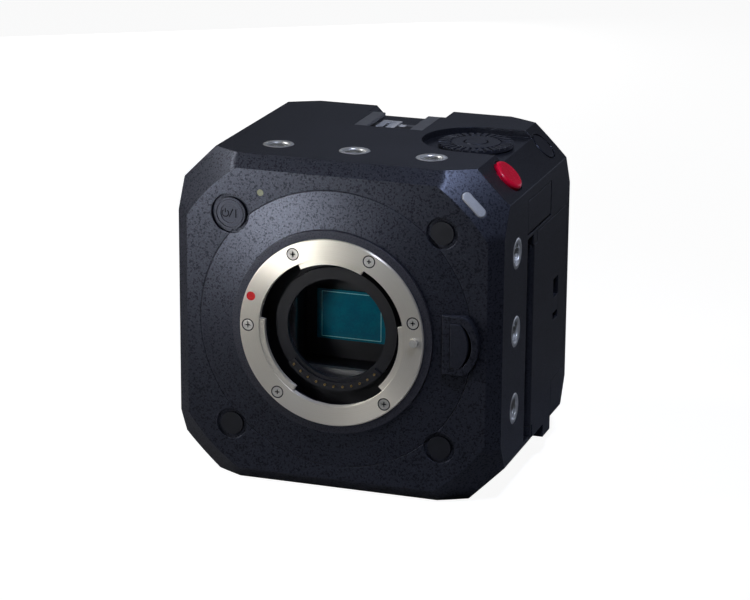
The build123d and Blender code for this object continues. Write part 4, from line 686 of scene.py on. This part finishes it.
# Buttons, dial and latches: moulded black plastic with a satin paint, each set in its own hole or
# slot. The lens release sits in a raised surround, painted as the front cover.
# Its paler edge colour is a painted highlight, and its pits are painted shade.
button_finish = painted(
    "button_paint",
    light=(0.02, 0.021, 0.028, 1),
    dark=(0.007, 0.0075, 0.011, 1),
    edge_highlight=(0.05, 0.052, 0.062, 1),
    pits=0.25,
    scale=3.0,
    relief=0.000006,
    edge_radius=0.00015,
)
cast_shell("release_boss", crinkle_finish)
button_bodies = {
    "lens_release_button": "lens_release",
    "power_button": "power_key",
    "cancel_button": "cancel_key",
    "function_button": "function_key",
    "quick_menu_button": "quick_menu_key",
    "playback_button": "playback_key",
    "control_dial": "dial",
    "menu_button": "menu_key",
    "battery_latch": "battery_catch",
    "card_door_lock": "card_slot_lock",
}
for name, body in button_bodies.items():
    cast_shell(name, button_finish, body)

# Standby sign: the plain sign of a power switch, an open ring with a stroke, a slash and a bar,
# printed in black on the power button, and moving with it.
mark_across, mark_up = -30.1, 30.1
ring_across, ring_up, ring_radius = -1.45, -0.1, 0.95
standby_ring = round_path((mark_across + ring_across, mark_up + ring_up), ring_radius, 125, 415)
standby_lines = [
    [(mark_across + across1, mark_up + up1), (mark_across + across2, mark_up + up2)]
    for across1, up1, across2, up2 in (
        (-1.45, 0.1, -1.45, 1.25),
        (-0.35, -1.1, 0.75, 1.2),
        (1.6, -1.15, 1.6, 1.15),
    )
]
standby_paths = [standby_ring] + standby_lines
on_the_button = 3.37
flat_marks("standby_mark", standby_paths, 0.32, on_the_button, shade_and_print_finish, "power_key")

# Lamps: the tally lamp is a frosted grey bar in the corner face, and the power lamp a small
# green-grey rod beside the power button. Both are set in holes of the front cover.
lamp_finish = grained(
    "lamp_grey", (0.5, 0.51, 0.53, 1), (0.36, 0.37, 0.39, 1), 0.3, 0.4, 0.00001
)
wear_finish(nodes["tally_lamp"], lamp_finish)
led_finish = grained(
    "led_green_grey", (0.2, 0.21, 0.13, 1), (0.13, 0.14, 0.08, 1), 0.3, 0.4, 0.000005
)
wear_finish(nodes["power_led"], led_finish)

# Record button: a domed cap of glossy red plastic, set in a hole of the right chamfer, into which
# it is pressed.
record_finish = grained(
    "record_red", (0.95, 0.004, 0.045, 1), (0.85, 0.003, 0.036, 1), 0.22, 0.32, 0.00001
)
cast_shell("rec_button", record_finish, "record_key")

# Threaded inserts: bright turned steel, pressed into the casing, each with a rolled rim and a
# tapped bore, whose darker steel is painted shade inside the hole. Three are in the top, three in
# each side and two in the base.
insert_finish = grained(
    "insert_steel", (0.92, 0.92, 0.9, 1), (0.8, 0.8, 0.78, 1), 0.3, 0.4, 0.000003, Metallic=0.7
)
# Darker steel for the bore: painted shade inside the hole.
bore_shade_finish = grained(
    "insert_bore_painted_shade", (0.42, 0.42, 0.41, 1), (0.3, 0.3, 0.3, 1), 0.25, 0.35, 0.000003, Metallic=1.0
)
thread_crest, thread_low, thread_root = 2.6, 2.95, 3.0
thread_pitch = 1.2
bore_from = 0.6
insert_line = [(4.4, 0.3), (4.25, 0.03), (3.3, 0.03), (3.12, 0.12), (thread_crest, 0.62)]
for groove in range(4):
    insert_line += [
        (thread_low, 0.75 + thread_pitch * groove),
        (thread_root, 1.0 + thread_pitch * groove),
        (thread_crest, 1.8 + thread_pitch * groove),
    ]
insert_line += [(thread_crest, 5.65), (0.0, 5.7)]


def add_turned(work, line, place, steps=64):
    """Turned surface from a line of radii and depths, set on its face by a matrix."""
    rings = []
    depth_of = {}
    for radius, depth in line:
        count = steps if radius > 0 else 1
        ring = []
        for index in range(count):
            angle = 2 * math.pi * index / steps
            point = Vector((radius * math.cos(angle), radius * math.sin(angle), -depth)) / 1000
            ring.append(work.verts.new(place @ point))
        depth_of[ring[0]] = depth
        rings.append(ring)
    for outer, inner in zip(rings, rings[1:]):
        for index in range(steps):
            after = (index + 1) % steps
            corners = [outer[index], outer[after], inner[after % len(inner)]]
            if len(inner) > 1:
                corners.append(inner[index])
            face = work.faces.new(corners)
            face.smooth = True
            # Faces deeper than bore_from take the second finish, the painted shade of the bore.
            face.material_index = 1 if depth_of[outer[0]] > bore_from else 0


insert_depth = 19.15
insert_spread = (-22, 0, 22)
half_body = 46.5
inserts_by_face = [
    (Vector((0, 0, 1)), [spot(across, insert_depth, half_body) for across in insert_spread]),
    (Vector((1, 0, 0)), [spot(half_body, insert_depth, up) for up in insert_spread]),
    (Vector((-1, 0, 0)), [spot(-half_body, insert_depth, up) for up in insert_spread]),
    (Vector((0, 0, -1)), [spot(0, depth, -half_body) for depth in (28, 50)]),
]
insert_mesh = bpy.data.meshes.new("thread_inserts_shell")
insert_work = bmesh.new()
for outward, places in inserts_by_face:
    turn = outward.to_track_quat("Z", "Y").to_matrix().to_4x4()
    for place in places:
        add_turned(insert_work, insert_line, Matrix.Translation(place) @ turn)
for edge in insert_work.edges:
    edge.smooth = facet_turn(edge) < 30
insert_work.to_mesh(insert_mesh)
insert_work.free()
inserts = stand_in("thread_inserts", "camera_body", insert_mesh, insert_finish)
inserts.data.materials.append(bore_shade_finish)

# Accessory shoe: a folded steel channel held in the slot of the casing, with a black contact plate
# on its base.
shoe_finish = grained(
    "shoe_steel", (0.26, 0.27, 0.29, 1), (0.2, 0.2, 0.215, 1), 0.35, 0.45, 0.000005, Metallic=0.6
)
rounded("hot_shoe", "camera_body", shoe_finish, 0.12)
contact_plate_finish = grained(
    "shoe_contact", (0.03, 0.03, 0.033, 1), (0.015, 0.015, 0.017, 1), 0.4, 0.5, 0.00001
)
# Near-white for the contact pads and the strips: a painted highlight in the place of the shine of their
# bare metal.
pad_highlight_finish = grained(
    "shoe_pads_painted_highlight", (0.95, 0.95, 0.95, 1), (0.85, 0.85, 0.85, 1), 0.25, 0.35, 0.000004, Metallic=0.2
)
pads_mesh = bpy.data.meshes.new("hot_shoe_contacts_shell")
pads_work = bmesh.new()
pads_work.from_mesh(nodes["hot_shoe_contacts"].data)
top_of_pads = max(vert.co.z for vert in pads_work.verts)
# The top faces of the pads take the second finish, the near-white painted highlight.
for face in pads_work.faces:
    if all(vert.co.z > top_of_pads - 0.00002 for vert in face.verts):
        face.material_index = 1
pads_work.to_mesh(pads_mesh)
pads_work.free()
pads = stand_in("hot_shoe_contacts", "camera_body", pads_mesh, contact_plate_finish)
pads.data.materials.append(pad_highlight_finish)

# Contact strips of the shoe: sheet spring, painted near-white as a painted highlight of its bare
# metal, a broad forked strip on the left and three small pads, lying on the base of the shoe.
springs_from, springs_to = 89.95 - axis_height, 90.35 - axis_height
spring_outlines = [
    [
        (-7.6, 20),
        (-5.4, 20),
        (-5.4, 25.6),
        (-4.3, 25.6),
        (-4.3, 18),
        (-1.9, 18),
        (-1.9, 28),
        (-7.6, 28),
    ],
    [(-1.1, 22.3), (0.6, 22.3), (0.6, 24.4), (-1.1, 24.4)],
    [(-1.1, 17.6), (0.5, 17.6), (0.5, 19.6), (-1.1, 19.6)],
    [(3.5, 17.2), (4.9, 17.2), (4.9, 19.2), (3.5, 19.2)],
]
springs_mesh = bpy.data.meshes.new("shoe_springs")
springs_work = bmesh.new()
for outline in spring_outlines:
    low_ring, high_ring = [
        [springs_work.verts.new(spot(across, back + flange_forward, level)) for across, back in outline]
        for level in (springs_from, springs_to)
    ]
    springs_work.faces.new(high_ring)
    springs_work.faces.new(low_ring[::-1])
    for index in range(len(outline)):
        after = (index + 1) % len(outline)
        springs_work.faces.new(
            (low_ring[index], low_ring[after], high_ring[after], high_ring[index])
        )
springs_work.to_mesh(springs_mesh)
springs_work.free()
springs = bpy.data.objects.new("shoe_springs", springs_mesh)
bpy.context.scene.collection.objects.link(springs)
wear_finish(springs, pad_highlight_finish)
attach(springs, "camera_body")

# Doors on the right side: moulded plates painted as the casing. The card door turns on a steel
# pin and has a sliding lock, and the port door above it folds down on its own hinge.
cast_shell("card_door", matte_finish, "card_slot_door")
cast_shell("port_door", matte_finish, "side_port_door")

# Memory cards: moulded black plastic, one in each slot behind the card door, pushed in against a
# spring.
card_finish = grained(
    "card_plastic", (0.05, 0.055, 0.075, 1), (0.03, 0.033, 0.045, 1), 0.4, 0.5, 0.00001
)
for name in ("memory_card_1", "memory_card_2"):
    wear_finish(nodes[name], card_finish)

# Jacks and sockets: nickel-plated shells, fixed in the rear cover and, for the sound sockets,
# behind the port door.
socket_finish = grained(
    "socket_metal", (0.78, 0.77, 0.74, 1), (0.6, 0.59, 0.57, 1), 0.2, 0.32, 0.00001, Metallic=1.0
)
for name in ("bnc_jacks", "network_socket", "rear_sockets", "audio_sockets"):
    wear_finish(nodes[name], socket_finish)

# Screws of the rear cover: blackened steel, sunk into its corners and turned into the casing.
black_screw_finish = grained(
    "black_screws", (0.03, 0.03, 0.033, 1), (0.015, 0.015, 0.017, 1), 0.35, 0.5, 0.00001
)
wear_finish(nodes["rear_cover_screws"], black_screw_finish)

# Circuit boards: green lacquered glass fibre. The sensor board is behind the sensor, the main
# board stands on spacers, and small boards lie under the buttons.
board_finish = grained(
    "circuit_board", (0.02, 0.16, 0.07, 1), (0.01, 0.1, 0.045, 1), 0.3, 0.45, 0.00001
)
for name in ("sensor_board", "main_board", "button_boards"):
    wear_finish(nodes[name], board_finish)

# Heat sink, front frame and spacers: bare milled and turned aluminium. They carry the mount, the
# sensor and the boards.
milled_finish = grained(
    "bare_aluminium", (0.62, 0.63, 0.64, 1), (0.5, 0.51, 0.52, 1), 0.3, 0.45, 0.00001, Metallic=1.0
)
for name in ("heat_sink", "front_frame", "board_spacers"):
    wear_finish(nodes[name], milled_finish)

# Fan, dial encoder and card slots: moulded black plastic. The fan blows out through the slots in
# the left side.
moulded_finish = grained(
    "black_plastic", (0.02, 0.02, 0.023, 1), (0.012, 0.012, 0.014, 1), 0.45, 0.6, 0.00002
)
for name in ("fan_housing", "fan_rotor", "dial_encoder", "card_slots"):
    wear_finish(nodes[name], moulded_finish)
